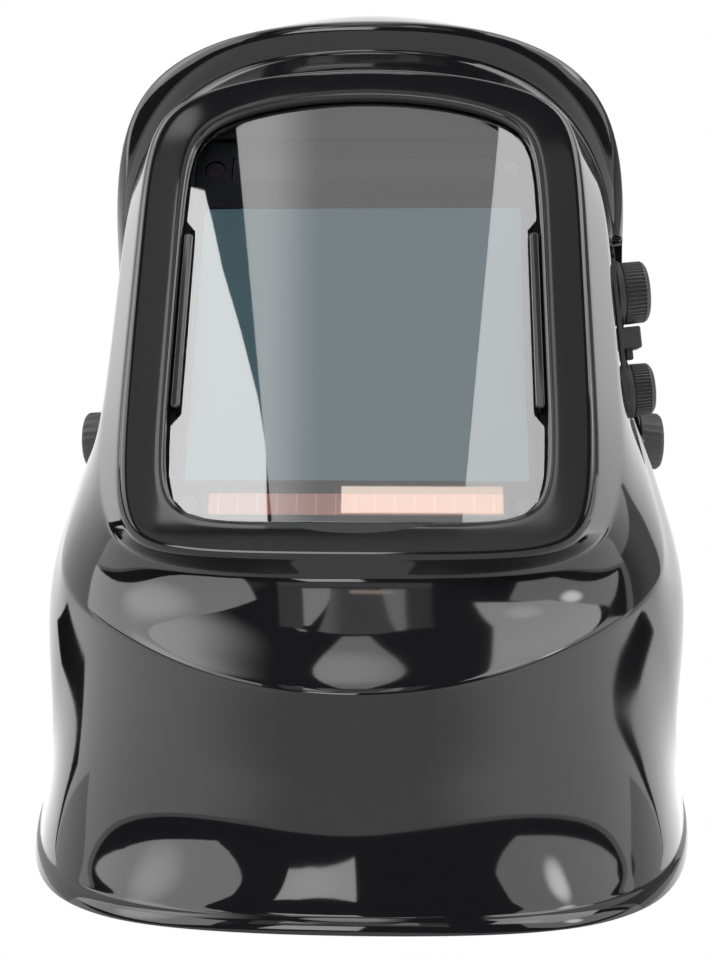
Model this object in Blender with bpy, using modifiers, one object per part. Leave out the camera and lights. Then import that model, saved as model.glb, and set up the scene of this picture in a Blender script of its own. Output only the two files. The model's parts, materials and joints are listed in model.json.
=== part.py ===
"""Welding helmet: hard shell, auto-darkening filter, side controls and pivoting ratchet headgear."""
import math

import bmesh
import bpy
from mathutils import Matrix, Vector

MM = 0.001

# overall placing
Y_SHIFT = -4.14
Z_SHIFT = -0.9

# window plane
TILT = math.radians(24.0)
WINDOW_Y = -95.0
WINDOW_Z = 162.0

# shell
WALL = 3.0
LEDGE = 5.0
EDGE_INSET = 2.6

# fits
GAP = 0.3
SLIP = 0.4

# filter cartridge, measured on the window plane (x, s) and behind it (d)
CASE_X = 54.5
CASE_S0 = -58.0
CASE_S1 = 80.0
CASE_D0 = 7.0
CASE_D1 = 16.0
CASE_R = 4.0
LCD_X = 51.3
LCD_S0 = -43.0
LCD_S1 = 53.8
LCD_T = 2.7
SEE_IN = 3.2
SOLAR_X = 43.5
SOLAR_S0 = -54.0
SOLAR_S1 = -47.0
SOLAR_T = 1.0
STRIP_X = 42.7
STRIP_S0 = 64.6
STRIP_S1 = 73.4
SENSOR_R = 3.1
SENSOR_T = 2.0
SENSORS = ((48.6, 69.0), (49.6, -50.8))
LENS_SIDE = 56.5
LENS_FIT = 0.5
LENS_D0 = 3.3
LENS_T = 1.5
NOTCH = 3.0
NOTCH_S0 = -23.0
NOTCH_S1 = 42.0
HOLDER_D0 = LEDGE + GAP + 0.1
HOLDER_D1 = 17.6
INNER_T = 1.0
CELL_R = 8.0
CELL_T = 3.2
CELL_X = -30.0
CELL_S = 66.5
CAP_T = 1.6
LATCH_X = 12.0
LATCH_S0 = -63.5
LATCH_S1 = -55.0
LATCH_T = 2.4
LATCH_TRAVEL = 4.0

# side wall, set by the faces of the two pivot bosses on it
BOSS_OUT = 105.0
BOSS_PROUD = 3.0
SIDE_X = BOSS_OUT - BOSS_PROUD

# side controls, on a panel leaning six degrees
PANEL_SUNK = 11.5
PANEL = (SIDE_X - PANEL_SUNK, -1.0, 171.5)
PANEL_LEAN = math.radians(6.0)
PAD_T = 4.0
PAD_Y = 13.0
PAD_Z = 38.0
PLATE_T = 1.5
PLATE_Y = 12.0
PLATE_Z = 36.5
SHADE_Z = 16.9
SHADE_R = 11.4
SHADE_L = 9.4
SENS_Z = -18.8
SENS_R = 9.7
SENS_L = 8.0
SKIRT_L = 2.4
SHAFT_R = 2.5
TEETH = 26
BOX_T = 3.0
BOX_Z0 = 6.5
SWITCH_L = 7.4
SWITCH_Y = 5.5
SWITCH_Z0 = -3.8
SWITCH_Z1 = 4.2
LEVER_Y = 1.6
LEVER_T = 2.8
LEVER_Z0 = -7.6
LEVER_ROOT = -1.2
LEVER_PIVOT = -2.0
LEVER_X = 3.1

# pivots
PIVOT_Y = 48.0
PIVOT_Z = 136.0
BOSS_R = 15.0
BOSS_T = 8.0
BOSS_IN = BOSS_OUT - BOSS_T
BORE_OVER = 9.0
BOLT_R = 3.8
WASHER_R = 13.0
WASHER_T = 1.2
TENSION_R = 11.6
TENSION_L = 9.6
ARM_T = 2.6
ARM_R = 13.5

# headgear
BAND_FRONT = (-33.0, 212.0)
BAND_REAR = (150.0, 140.0)
BAND_X = 80.0
BAND_T = 2.0
BAND_H = 26.0
END_X = 27.0
STRAP_T = 1.5
STRAP_W = 14.0
STRAP_Y = (49.0, 71.0)
STRAP_TOP = (250.0, 247.0)
STUD_R = 1.7
PAD_THICK = 7.0
HOUSE_X = 23.0
HOUSE_M = 13.0
HOUSE_A1 = 91.0
HOUSE_WALL = 3.2
SLOT_T = 2.7
SLOT_A1 = HOUSE_A1 - HOUSE_WALL
SLOT_A0 = SLOT_A1 - SLOT_T
END_A = SLOT_A0 - BAND_T / 2 - 0.1
HOUSE_BACK = 3.8
HOUSE_A0 = END_A - HOUSE_BACK
WING_T = 1.0
WING_M = 11.0
SLOT_M = 10.6
NAPE_T = 6.2
NAPE_X = 29.0
NAPE_M = 9.5
TAIL_X = 44.0
PINION_R = 6.0
PINION_N = 12
DIAL_R = 22.0
DIAL_L = 13.0

W_MAT = Matrix.Translation((0, WINDOW_Y, WINDOW_Z)) @ Matrix.Rotation(-TILT, 4, "X")
P_MAT = Matrix.Translation(PANEL) @ Matrix.Rotation(-PANEL_LEAN, 4, "Y")
B_MID = Vector((0, (BAND_FRONT[0] + BAND_REAR[0]) / 2, (BAND_FRONT[1] + BAND_REAR[1]) / 2))
B_LONG = Vector((0, BAND_REAR[0] - BAND_FRONT[0], BAND_REAR[1] - BAND_FRONT[1])).length / 2
B_LEAN = math.atan2(BAND_REAR[1] - BAND_FRONT[1], BAND_REAR[0] - BAND_FRONT[0])
B_MAT = Matrix.Translation(B_MID) @ Matrix.Rotation(B_LEAN, 4, "X")

for old in list(bpy.data.objects):
    bpy.data.objects.remove(old)


def collection(name):
    found = bpy.data.collections.new(name)
    bpy.context.scene.collection.children.link(found)
    return found


HELMET = collection("welding_helmet")
CUTTERS = collection("cutters")


def material(name, colour, rough=0.4, metal=0.0, alpha=1.0):
    mat = bpy.data.materials.new(name)
    mat.use_nodes = True
    node = mat.node_tree.nodes["Principled BSDF"]
    node.inputs["Base Color"].default_value = (*colour, 1.0)
    node.inputs["Roughness"].default_value = rough
    node.inputs["Metallic"].default_value = metal
    node.inputs["Alpha"].default_value = alpha
    return mat


BLACK = (0.012, 0.012, 0.013)


def finish(name, bm, colour=BLACK, rough=0.35, metal=0.0, origin=(0, 0, 0), cutter=False):
    """Puts millimetre geometry in the scene as one named object with its origin where it turns."""
    centre = Vector(origin)
    bmesh.ops.translate(bm, verts=bm.verts, vec=-centre)
    bmesh.ops.scale(bm, verts=bm.verts, vec=(MM, MM, MM))
    bmesh.ops.recalc_face_normals(bm, faces=bm.faces)
    mesh = bpy.data.meshes.new(name)
    bm.to_mesh(mesh)
    bm.free()
    obj = bpy.data.objects.new(name, mesh)
    obj.location = (centre + Vector((0, Y_SHIFT, Z_SHIFT))) * MM
    if cutter:
        CUTTERS.objects.link(obj)
        obj.hide_render = True
        obj.display_type = "WIRE"
    else:
        HELMET.objects.link(obj)
        mesh.materials.append(material(name, colour, rough, metal))
    return obj


def boolean(obj, cutter, operation="DIFFERENCE"):
    mod = obj.modifiers.new(cutter.name, "BOOLEAN")
    mod.operation = operation
    mod.solver = "EXACT"
    mod.object = cutter


def bevel(obj, width, segments=1):
    mod = obj.modifiers.new("edge", "BEVEL")
    mod.width = width * MM
    mod.segments = segments
    mod.limit_method = "ANGLE"
    mod.angle_limit = math.radians(40)


def prism(outline, d0, d1, mat=None):
    """Outline in (x, z) given a thickness along y from d0 to d1."""
    bm = bmesh.new()
    low = [bm.verts.new((x, d0, z)) for x, z in outline]
    high = [bm.verts.new((x, d1, z)) for x, z in outline]
    bm.faces.new(low)
    bm.faces.new(high[::-1])
    count = len(outline)
    for i in range(count):
        j = (i + 1) % count
        bm.faces.new((low[j], low[i], high[i], high[j]))
    if mat:
        bm.transform(mat)
    return bm


def rounded(x0, x1, z0, z1, r, steps=4):
    """Rectangle outline with round corners."""
    points = []
    corners = ((x1 - r, z1 - r, 0), (x0 + r, z1 - r, 90), (x0 + r, z0 + r, 180), (x1 - r, z0 + r, 270))
    for cx, cz, turn in corners:
        for i in range(steps + 1):
            a = math.radians(turn + 90 * i / steps)
            points.append((cx + r * math.cos(a), cz + r * math.sin(a)))
    return points


def circle(cx, cz, r, count=32):
    return [(cx + r * math.cos(2 * math.pi * i / count), cz + r * math.sin(2 * math.pi * i / count))
            for i in range(count)]


def mirrored(half):
    """Closes a right half outline, given bottom to top, by its left half."""
    left = [(-x, z) for x, z in reversed(half) if x > 0]
    return list(half) + left


def loft(rings, mat=None, closed=False):
    """Skins rings of equal point count; ends are capped unless the row of rings closes on itself."""
    bm = bmesh.new()
    rows = [[bm.verts.new(p) for p in ring] for ring in rings]
    count = len(rows[0])
    spans = len(rows) if closed else len(rows) - 1
    for j in range(spans):
        a = rows[j]
        b = rows[(j + 1) % len(rows)]
        for i in range(count):
            k = (i + 1) % count
            bm.faces.new((a[i], a[k], b[k], b[i]))
    if not closed:
        bm.faces.new(rows[0][::-1])
        bm.faces.new(rows[-1])
    if mat:
        bm.transform(mat)
    return bm


def turned(profile, count=32, mat=None):
    """Solid of revolution about x from (x, radius, groove depth) stations."""
    rings = []
    for station in profile:
        x, r = station[0], station[1]
        groove = station[2] if len(station) > 2 else 0.0
        ring = []
        for i in range(count):
            a = 2 * math.pi * i / count
            rr = r - groove * (i % 2)
            ring.append((x, rr * math.cos(a), rr * math.sin(a)))
        rings.append(ring)
    return loft(rings, mat)


def block(x0, x1, y0, y1, z0, z1, mat=None):
    bm = bmesh.new()
    bmesh.ops.create_cube(bm, size=1.0)
    bmesh.ops.scale(bm, verts=bm.verts, vec=(x1 - x0, y1 - y0, z1 - z0))
    bmesh.ops.translate(bm, verts=bm.verts, vec=((x0 + x1) / 2, (y0 + y1) / 2, (z0 + z1) / 2))
    if mat:
        bm.transform(mat)
    return bm


# Shell: spokes run from bottom centre round the right side to top centre, rings from window to edge
LENS = ((0, -58.5), (24, -58.5), (44, -58.5), (55, -53), (LENS_SIDE, -34), (LENS_SIDE, -12),
        (LENS_SIDE, 12), (LENS_SIDE, 36), (LENS_SIDE, 60), (54, 79), (41, 87), (21, 92), (0, 93.5))
FACE = ((0, -70), (27, -70), (54, -69), (67, -63), (70, -40), (70.5, -14), (70.5, 12),
        (70.5, 38), (70.5, 64), (67.5, 88), (49, 98), (25, 103.5), (0, 105))
ROOT = ((0, -121.5, 91.5), (28, -119, 92), (56, -112, 94), (76, -100, 101), (83, -83, 122),
        (83.5, -68, 147), (84, -55, 170), (84, -43, 195), (83, -33, 219), (76, -31, 239),
        (55, -37, 252), (28, -41, 259.5), (0, -42, 262))
STEP = ((0, -129.5, 76.2), (27.5, -126.6, 77.3), (54, -118.2, 81.2), (76.8, -101.3, 90.3),
        (88.2, -78.6, 106.6), (90, -55, 129.8), (SIDE_X - 13, -31.4, 156), (SIDE_X - 13.6, -13, 184.5),
        (SIDE_X - 12.5, -6, 211), (81.5, -12, 236), (63, -18, 257.5), (35.5, -23, 269), (0, -25, 270.5))
LIP = ((0, -142.7, 64), (27.1, -139.2, 65.8), (53.2, -129, 71.5), (80.6, -105.5, 81.2),
       (96.8, -76.6, 92.6), (99.6, -42.2, 113), (SIDE_X - 9, -16, 147.5), (SIDE_X - 12, -4, 181.5),
       (SIDE_X - 10.5, -7.5, 212), (85, -15, 240), (68, -22, 261.5), (39, -27, 272.5), (0, -29, 274))
CREST = ((0, -144.5, 61.6), (27, -141, 63.5), (53, -130.5, 69.5), (81, -106, 79.5), (98, -76, 90),
         (101, -40, 110), (SIDE_X - 7.5, -12, 145), (SIDE_X - 11, 0, 180), (SIDE_X - 6.5, 3, 214),
         (93, -2, 246), (80, -12, 268.5), (47, -22, 281), (0, -25, 283))
MID = ((0, -142.5, 40), (28, -139, 41), (55, -127.5, 43), (83, -104, 47), (101.5, -68, 58),
       (118.5, -20, 84), (SIDE_X + 16, 16, 100), (SIDE_X, 32, 150), (SIDE_X - 4, 32, 205), (89, 26, 250),
       (72, 14, 277), (40, 12, 293), (0, 12, 300))
NEAR = ((0, -146, 24), (28.5, -142.5, 24), (57, -131, 24), (86, -106, 24), (100, -70, 30),
        (112, -8, 42), (SIDE_X + 10, 46, 26), (SIDE_X + 0.5, 66, 110), (SIDE_X - 4.5, 66, 185),
        (88, 60, 249), (67, 54, 282), (37, 48, 301), (0, 46, 307))
EDGE = ((0, -155, 0), (34, -153.5, 0), (66, -146, 0), (90, -119, 0), (106.5, -73, 3),
        (113, -8, 14), (SIDE_X + 8, 58, -23), (SIDE_X + 1, 84, 100), (SIDE_X - 4.5, 86, 180),
        (88, 84, 249), (66, 78, 281), (37, 73, 300), (0, 71, 306))
HEART = Vector((0, 40, 150))
FINGER_DIP = 5.0
BROW_D = 1.4


def on_plane(x, s, d):
    return W_MAT @ Vector((x, d, s))


def mix(a, b, t):
    return [p.lerp(q, t) for p, q in zip(a, b)]


def flip(p):
    return Vector((-p.x, p.y, p.z))


def offset_rows(rows, distance):
    """Moves a coarse grid of rings inward along its own normals."""
    moved = []
    last = len(rows) - 1
    for j, row in enumerate(rows):
        out = []
        for k, p in enumerate(row):
            before = row[k - 1] if k > 0 else flip(row[1])
            after = row[k + 1] if k < len(row) - 1 else flip(row[-2])
            inner = rows[max(j - 1, 0)][k]
            outer = rows[min(j + 1, last)][k]
            normal = (after - before).cross(outer - inner).normalized()
            if normal.dot(p - HEART) < 0:
                normal = -normal
            q = p - normal * distance
            if k in (0, len(row) - 1):
                q.x = 0.0
            out.append(q)
        moved.append(out)
    return moved


def stations():
    brow = [on_plane(x * 1.012, s * 1.008, BROW_D) for x, s in FACE]
    return [brow] + [[Vector(p) for p in ring] for ring in (ROOT, STEP, LIP, CREST, MID, NEAR, EDGE)]


def outer_rings():
    """Outside of the shell, from the edge of the window block out to the rim."""
    brow, root, step, lip, crest, middle, near, edge = stations()
    return [brow, mix(brow, root, 0.12), mix(brow, root, 0.85), root, step, lip, crest,
            mix(crest, middle, 0.08), middle, near, mix(near, edge, 0.8), edge]


def shell_rings():
    dipped = [(x, s - FINGER_DIP if k == 0 else s) for k, (x, s) in enumerate(LENS)]
    face = [on_plane(x, s, 0) for x, s in FACE]
    lens = [on_plane(x, s, 0) for x, s in dipped]
    rings = [[on_plane(x, s, LEDGE) for x, s in LENS], [on_plane(x, s, 1.0) for x, s in dipped],
             mix(lens, face, 0.08), mix(lens, face, 0.96)] + outer_rings()
    brow, root, step, lip, crest, middle, near, edge = stations()
    inside = offset_rows([brow, root, step, crest, middle, near, edge], WALL)
    seat = [on_plane(x * 0.94, s * 0.94, LEDGE) for x, s in FACE]
    wall = [on_plane(x * 0.958, s * 0.958, LEDGE + 3.0) for x, s in FACE]
    i_root, i_step, i_crest, i_mid, i_near, i_edge = inside[1:]
    for p, q in zip(i_edge, edge):
        p.z = q.z
    rings += [mix(i_near, i_edge, 0.98), mix(i_near, i_edge, 0.8), i_near, i_mid,
              mix(i_crest, i_mid, 0.14), i_crest, i_step, i_root, mix(wall, i_root, 0.8), wall, seat]
    return rings


def cage(rings, closes):
    """Right half of a skin; its rings close on themselves or get two ends."""
    bm = bmesh.new()
    rows = [[bm.verts.new(p) for p in ring] for ring in rings]
    for a, b in zip(rows, rows[1:] + rows[:1] if closes else rows[1:]):
        for k in range(len(a) - 1):
            bm.faces.new((a[k], a[k + 1], b[k + 1], b[k]))
    if not closes:
        bm.faces.new(rows[0])
        bm.faces.new(rows[-1])
    return bm


def smoothed(obj):
    mirror = obj.modifiers.new("halves", "MIRROR")
    mirror.use_axis = (True, False, False)
    mirror.use_clip = True
    mirror.merge_threshold = 0.0001
    smooth = obj.modifiers.new("skin", "SUBSURF")
    smooth.levels = 1
    smooth.render_levels = 1
    return obj


shell = smoothed(finish("helmet_shell", cage(shell_rings(), True), BLACK, 0.12))

AXIS_X = Matrix.Translation((0, PIVOT_Y, PIVOT_Z))
SIDES = ((1, "right"), (-1, "left"))


def side(sign):
    return Matrix.Scale(sign, 4, (1, 0, 0)) @ AXIS_X


def disc(name, x0, x1, radius, sign, count=40):
    """Round cutter on the pivot axis of one side."""
    return finish(name, turned(((x0, radius), (x1, radius)), count, side(sign)), cutter=True)


for sign, word in SIDES:
    boolean(shell, disc("pivot_boss_" + word, BOSS_IN, BOSS_OUT, BOSS_R, sign), "UNION")

# The control panel is a thick pad with a flat face, sunk in the side wall, and a collar round
# it joins it to the wall just under the outer skin
SPIN = Matrix.Rotation(math.radians(90), 4, "Z")
P_SPIN = P_MAT @ SPIN
PAD_CORNER = 9.0
pad_line = rounded(-PAD_Y, PAD_Y, -PAD_Z, PAD_Z, PAD_CORNER)
room_line = rounded(-PAD_Y + 1, PAD_Y - 1, -PAD_Z + 2, PAD_Z - 2, 6)
COLLAR_T = 2.4
COLLAR_UNDER = 1.0
RECESS = 12.0
collar_line = rounded(-PAD_Y - COLLAR_T, PAD_Y + COLLAR_T, -PAD_Z - COLLAR_T, PAD_Z + COLLAR_T,
                      PAD_CORNER + COLLAR_T)
under_rings = offset_rows(outer_rings(), COLLAR_UNDER)
under_skin = smoothed(finish("under_skin", cage(under_rings, False), cutter=True))
collar = finish("control_pad", prism(collar_line, -RECESS, PAD_T, P_SPIN), cutter=True)
boolean(collar, under_skin, "INTERSECT")
boolean(shell, collar, "UNION")
boolean(shell, finish("control_recess", prism(pad_line, -RECESS, 0, P_SPIN), cutter=True))
boolean(shell, finish("box_room", prism(room_line, PAD_T, PAD_T + 12, P_SPIN), cutter=True))
for sign, word in SIDES:
    boolean(shell, disc("boss_spot_" + word, BOSS_OUT, BOSS_OUT + BORE_OVER, BOSS_R, sign))
    boolean(shell, disc("boss_heel_" + word, BOSS_IN - BORE_OVER, BOSS_IN, BOSS_R, sign))
for sign, word in SIDES:
    bore = disc("pivot_bore_" + word, BOSS_IN - BORE_OVER, BOSS_OUT + BORE_OVER, BOLT_R + SLIP, sign, 32)
    boolean(shell, bore)


def knob_place(z):
    return P_MAT @ Matrix.Translation((0, 0, z))


for label, z in (("shade", SHADE_Z), ("sensitivity", SENS_Z)):
    shaft_hole = turned(((-PAD_T - 12, SHAFT_R + SLIP), (9, SHAFT_R + SLIP)), 24, knob_place(z))
    boolean(shell, finish("bore_" + label, shaft_hole, cutter=True))

# The shell stands on its chin and on its two rear corners, which are faced off level
boolean(shell, finish("ground", block(-200, 200, -250, 150, -60, -Z_SHIFT), cutter=True))


# Window group
def skin_line(half):
    """The line that the skin's one smoothing step draws from a right half ring."""
    line = []
    last = len(half) - 1
    for k, (x, s) in enumerate(half):
        ax, a_s = half[k - 1] if k > 0 else (-half[1][0], half[1][1])
        bx, b_s = half[k + 1] if k < last else (-half[-2][0], half[-2][1])
        line.append(((ax + 6 * x + bx) / 8, (a_s + 6 * s + b_s) / 8))
        if k < last:
            line.append(((x + bx) / 2, (s + b_s) / 2))
    return line


def inset(half, distance):
    """Draws a right half outline in by a distance."""
    line = []
    last = len(half) - 1
    for k, (x, s) in enumerate(half):
        ax, a_s = half[k - 1] if k > 0 else (-half[1][0], half[1][1])
        bx, b_s = half[k + 1] if k < last else (-half[-2][0], half[-2][1])
        run = Vector((bx - ax, b_s - a_s)).normalized()
        line.append((x - run.y * distance if 0 < k < last else 0.0, s + run.x * distance))
    return line


opening = inset(skin_line(LENS), LENS_FIT)
LENS_X = LENS_SIDE - LENS_FIT
half_lens = [p for p in opening if p[1] < NOTCH_S0 - 4.5]
half_lens += [(LENS_X, NOTCH_S0 - 4), (LENS_X - NOTCH, NOTCH_S0)]
half_lens += [(LENS_X - NOTCH, NOTCH_S1), (LENS_X, NOTCH_S1 + 4)]
half_lens += [p for p in opening if p[1] > NOTCH_S1 + 4.5]
cover = prism(mirrored(half_lens), LENS_D0, LENS_D0 + LENS_T, W_MAT)
finish("front_cover_lens", cover, (0.75, 0.78, 0.78), 0.03)
for sign, word in SIDES:
    a = sign * (LENS_X - NOTCH + GAP)
    b = sign * (LENS_SIDE - GAP)
    rail_line = rounded(min(a, b), max(a, b), NOTCH_S0 + 1.5, NOTCH_S1 - 1.5, 1.0, 2)
    rail = finish("lens_rail_" + word, prism(rail_line, 1.6, LENS_D0 + LENS_T, W_MAT))
    bevel(rail, 0.3)

half_holder = ((0, -61.4), (51.5, -61.4), (58.3, -55), (59, -30), (59, 62), (58.2, 76), (53.5, 85),
               (41.5, 90.0), (21, 94.6), (0, 96.0))
holder = finish("cartridge_holder", prism(mirrored(half_holder), HOLDER_D0, HOLDER_D1, W_MAT), BLACK, 0.5)
nest_line = rounded(-CASE_X - GAP, CASE_X + GAP, CASE_S0 - GAP, CASE_S1 + GAP, CASE_R)
boolean(holder, finish("holder_nest", prism(nest_line, HOLDER_D0 - 9, HOLDER_D1 + 9, W_MAT), cutter=True))


def pocket(name, x, s0, s1, radius, deep):
    """Bay in the front of the cartridge, with a named clearance round what lies in it."""
    line = rounded(-x - GAP, x + GAP, s0 - GAP, s1 + GAP, radius)
    return finish(name, prism(line, CASE_D0 - 4, CASE_D0 + deep + 2 * GAP, W_MAT), cutter=True)


def inlay(name, x, s0, s1, radius, thick, colour, rough):
    """Flat piece that lies in its bay just behind the cartridge's face."""
    line = rounded(-x, x, s0, s1, radius)
    return finish(name, prism(line, CASE_D0 + GAP, CASE_D0 + GAP + thick, W_MAT), colour, rough)


case_line = rounded(-CASE_X, CASE_X, CASE_S0, CASE_S1, CASE_R)
case = finish("filter_cartridge", prism(case_line, CASE_D0, CASE_D1, W_MAT), BLACK, 0.5)
see_line = rounded(-LCD_X + SEE_IN, LCD_X - SEE_IN, LCD_S0 + SEE_IN, LCD_S1 - SEE_IN, 2)
cell_line = circle(CELL_X, CELL_S, CELL_R + GAP)
boolean(case, pocket("lcd_bay", LCD_X, LCD_S0, LCD_S1, 1.5, LCD_T))
boolean(case, finish("see_through", prism(see_line, CASE_D0 - 4, CASE_D1 + 4, W_MAT), cutter=True))
boolean(case, pocket("solar_bay", SOLAR_X, SOLAR_S0, SOLAR_S1, 0.8, SOLAR_T))
boolean(case, pocket("strip_bay", STRIP_X, STRIP_S0, STRIP_S1, 0.8, SENSOR_T))
cell_bay = prism(cell_line, CASE_D1 - CELL_T - 2 * GAP, CASE_D1 + 4, W_MAT)
boolean(case, finish("cell_bay", cell_bay, cutter=True))
inlay("lcd_filter", LCD_X, LCD_S0, LCD_S1, 1.2, LCD_T, (0.03, 0.06, 0.08), 0.05)
inlay("solar_panel", SOLAR_X, SOLAR_S0, SOLAR_S1, 0.5, SOLAR_T, (0.55, 0.28, 0.2), 0.3)
inlay("sensor_strip", STRIP_X, STRIP_S0, STRIP_S1, 0.5, SENSOR_T, (0.02, 0.02, 0.02), 0.2)
for x, s in SENSORS:
    for sign, word in SIDES:
        place = "upper_" + word if s > 0 else "lower_" + word
        well_line = circle(sign * x, s, SENSOR_R + GAP, 20)
        well = prism(well_line, CASE_D0 - 4, CASE_D0 + SENSOR_T + 2 * GAP, W_MAT)
        boolean(case, finish("sensor_well_" + place, well, cutter=True))
        eye = prism(circle(sign * x, s, SENSOR_R, 20), CASE_D0 + GAP, CASE_D0 + GAP + SENSOR_T, W_MAT)
        finish("arc_sensor_" + place, eye, (0.05, 0.03, 0.05), 0.1)
REAR_D = CASE_D1 + GAP
inner_line = rounded(-CASE_X + 0.6, CASE_X - 0.6, LCD_S0 - 5, LCD_S1 + 2.5, 2)
finish("inner_cover_lens", prism(inner_line, REAR_D, REAR_D + INNER_T, W_MAT), (0.75, 0.78, 0.78), 0.05)
cell = prism(circle(CELL_X, CELL_S, CELL_R), CASE_D1 - CELL_T - GAP, CASE_D1 - GAP, W_MAT)
finish("battery_cell", cell, (0.6, 0.6, 0.6), 0.3, 1.0)
cap_place = W_MAT @ Vector((CELL_X, REAR_D, CELL_S))
cap_body = prism(circle(CELL_X, CELL_S, CELL_R + 1.4), REAR_D, REAR_D + CAP_T, W_MAT)
cap = finish("battery_cap", cap_body, BLACK, 0.5, origin=cap_place)
coin_line = rounded(CELL_X - 5, CELL_X + 5, CELL_S - 0.9, CELL_S + 0.9, 0.8)
boolean(cap, finish("coin_slot", prism(coin_line, REAR_D + 0.7, REAR_D + 9, W_MAT), cutter=True))
LATCH_D = HOLDER_D1 + GAP
latch_line = rounded(-LATCH_X, LATCH_X, LATCH_S0, LATCH_S1, 2)
latch = finish("cartridge_latch", prism(latch_line, LATCH_D, LATCH_D + LATCH_T, W_MAT), BLACK, 0.5,
               origin=W_MAT @ Vector((0, LATCH_D, LATCH_S0)))
bevel(latch, 0.5)

# Side controls
plate_line = rounded(-PLATE_Y, PLATE_Y, -PLATE_Z, PLATE_Z, 8)
plate = finish("control_plate", prism(plate_line, -GAP - PLATE_T, -GAP, P_SPIN), BLACK, 0.45)
for label in ("shade", "sensitivity"):
    boolean(plate, bpy.data.objects["bore_" + label])
KNOB_X = GAP + PLATE_T + GAP


def knob(name, z, radius, length):
    """Skirted knob with a knurled grip and a shaft running back through the panel."""
    grip = KNOB_X + SKIRT_L
    profile = ((-PAD_T + 0.5, SHAFT_R), (KNOB_X, SHAFT_R), (KNOB_X, radius + 0.8),
               (grip - 0.5, radius + 0.8), (grip, radius + 0.3), (grip + 0.1, radius, 0.7),
               (grip + length - 0.8, radius - 0.2, 0.7), (grip + length, radius - 1.2, 0.2))
    finish(name, turned(profile, 2 * TEETH, knob_place(z)), BLACK, 0.5, origin=P_MAT @ Vector((0, 0, z)))


knob("shade_knob", SHADE_Z, SHADE_R, SHADE_L)
knob("sensitivity_knob", SENS_Z, SENS_R, SENS_L)
switch = block(KNOB_X, KNOB_X + SWITCH_L, -SWITCH_Y, SWITCH_Y, SWITCH_Z0, SWITCH_Z1, P_MAT)
base = finish("mode_switch_base", switch, BLACK, 0.45)
bevel(base, 0.5)
LEVER_ROOM = 0.8
lever_x0 = KNOB_X + LEVER_X - LEVER_T / 2
lever_x1 = KNOB_X + LEVER_X + LEVER_T / 2
lever_slot = block(lever_x0 - LEVER_ROOM, lever_x1 + LEVER_ROOM, -LEVER_Y - LEVER_ROOM, LEVER_Y + LEVER_ROOM,
                   SWITCH_Z0 - 4, LEVER_ROOT + LEVER_ROOM, P_MAT)
boolean(base, finish("lever_slot", lever_slot, cutter=True))
lever_body = block(lever_x0, lever_x1, -LEVER_Y, LEVER_Y, LEVER_Z0, LEVER_ROOT, P_MAT)
lever = finish("mode_lever", lever_body, (0.05, 0.05, 0.05), 0.4,
               origin=P_MAT @ Vector((KNOB_X + LEVER_X, 0, LEVER_PIVOT)))
bevel(lever, 0.4)
box_line = rounded(-PAD_Y + 2, PAD_Y - 2, BOX_Z0, PAD_Z - 3, 5)
box = finish("control_box", prism(box_line, PAD_T + GAP, PAD_T + GAP + BOX_T, P_SPIN), BLACK, 0.5)
bevel(box, 0.6)

# Pivots, the same on both sides
BOLT_HEAD = BOSS_IN - GAP - ARM_T - GAP
HEAD_R = 7.0
WASHER_X = BOSS_OUT + GAP
KNOB_IN = WASHER_X + WASHER_T + GAP
KNOB_OUT = KNOB_IN + TENSION_L
BOLT_END = KNOB_OUT - 3.0
for sign, word in SIDES:
    here = side(sign)
    ring = turned(((WASHER_X, WASHER_R), (WASHER_X + WASHER_T, WASHER_R)), 40, here)
    washer = finish("friction_washer_" + word, ring, (0.3, 0.3, 0.3), 0.6)
    boolean(washer, bpy.data.objects["pivot_bore_" + word])
    bolt = ((BOLT_HEAD - 2.2, HEAD_R - 2.0), (BOLT_HEAD - 0.8, HEAD_R), (BOLT_HEAD, HEAD_R),
            (BOLT_HEAD, BOLT_R), (BOLT_END - 0.6, BOLT_R), (BOLT_END, BOLT_R - 0.6))
    finish("pivot_bolt_" + word, turned(bolt, 32, here), (0.5, 0.5, 0.5), 0.35, 1.0)
    grip = ((KNOB_IN, TENSION_R - 0.6), (KNOB_IN + 0.6, TENSION_R), (KNOB_OUT - 1.6, TENSION_R - 0.4, 0.6),
            (KNOB_OUT - 0.4, TENSION_R - 1.4, 0.4), (KNOB_OUT, TENSION_R - 2.8))
    tension = finish("tension_knob_" + word, turned(grip, 48, here), BLACK, 0.45,
                     origin=(sign * KNOB_IN, PIVOT_Y, PIVOT_Z))
    boolean(tension, disc("tension_well_" + word, KNOB_IN - 5, BOLT_END + GAP, BOLT_R + GAP, sign, 32))


# Headgear
def band_point(turn):
    return (BAND_X * math.sin(turn), -B_LONG * math.cos(turn))


def band_path():
    """Right half of the band's line from the forehead round to its straight rear end."""
    half = [band_point(math.radians(a)) for a in range(0, 131, 10)]
    half += [(54.5, END_A - 12.0), (46, END_A - 5.0), (38.5, END_A - 1.4), (34, END_A), (END_X, END_A)]
    return half


def walk(half):
    left = [(-x, a) for x, a in reversed(half) if x > 0]
    return left + list(half)


def across(path, i, thick):
    """Half a thickness square to a path at one of its points."""
    ax, ay = path[max(i - 1, 0)]
    bx, by = path[min(i + 1, len(path) - 1)]
    run = Vector((bx - ax, by - ay)).normalized()
    return -run.y * thick / 2, run.x * thick / 2


def ribbon(path, thick, m0, m1, mat):
    """Sweeps an upright strip of given thickness along a line in the band's plane."""
    rings = []
    for i, (x, a) in enumerate(path):
        nx, na = across(path, i, thick)
        rings.append([(x + nx, a + na, m0), (x - nx, a - na, m0), (x - nx, a - na, m1), (x + nx, a + na, m1)])
    return loft(rings, mat)


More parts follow.
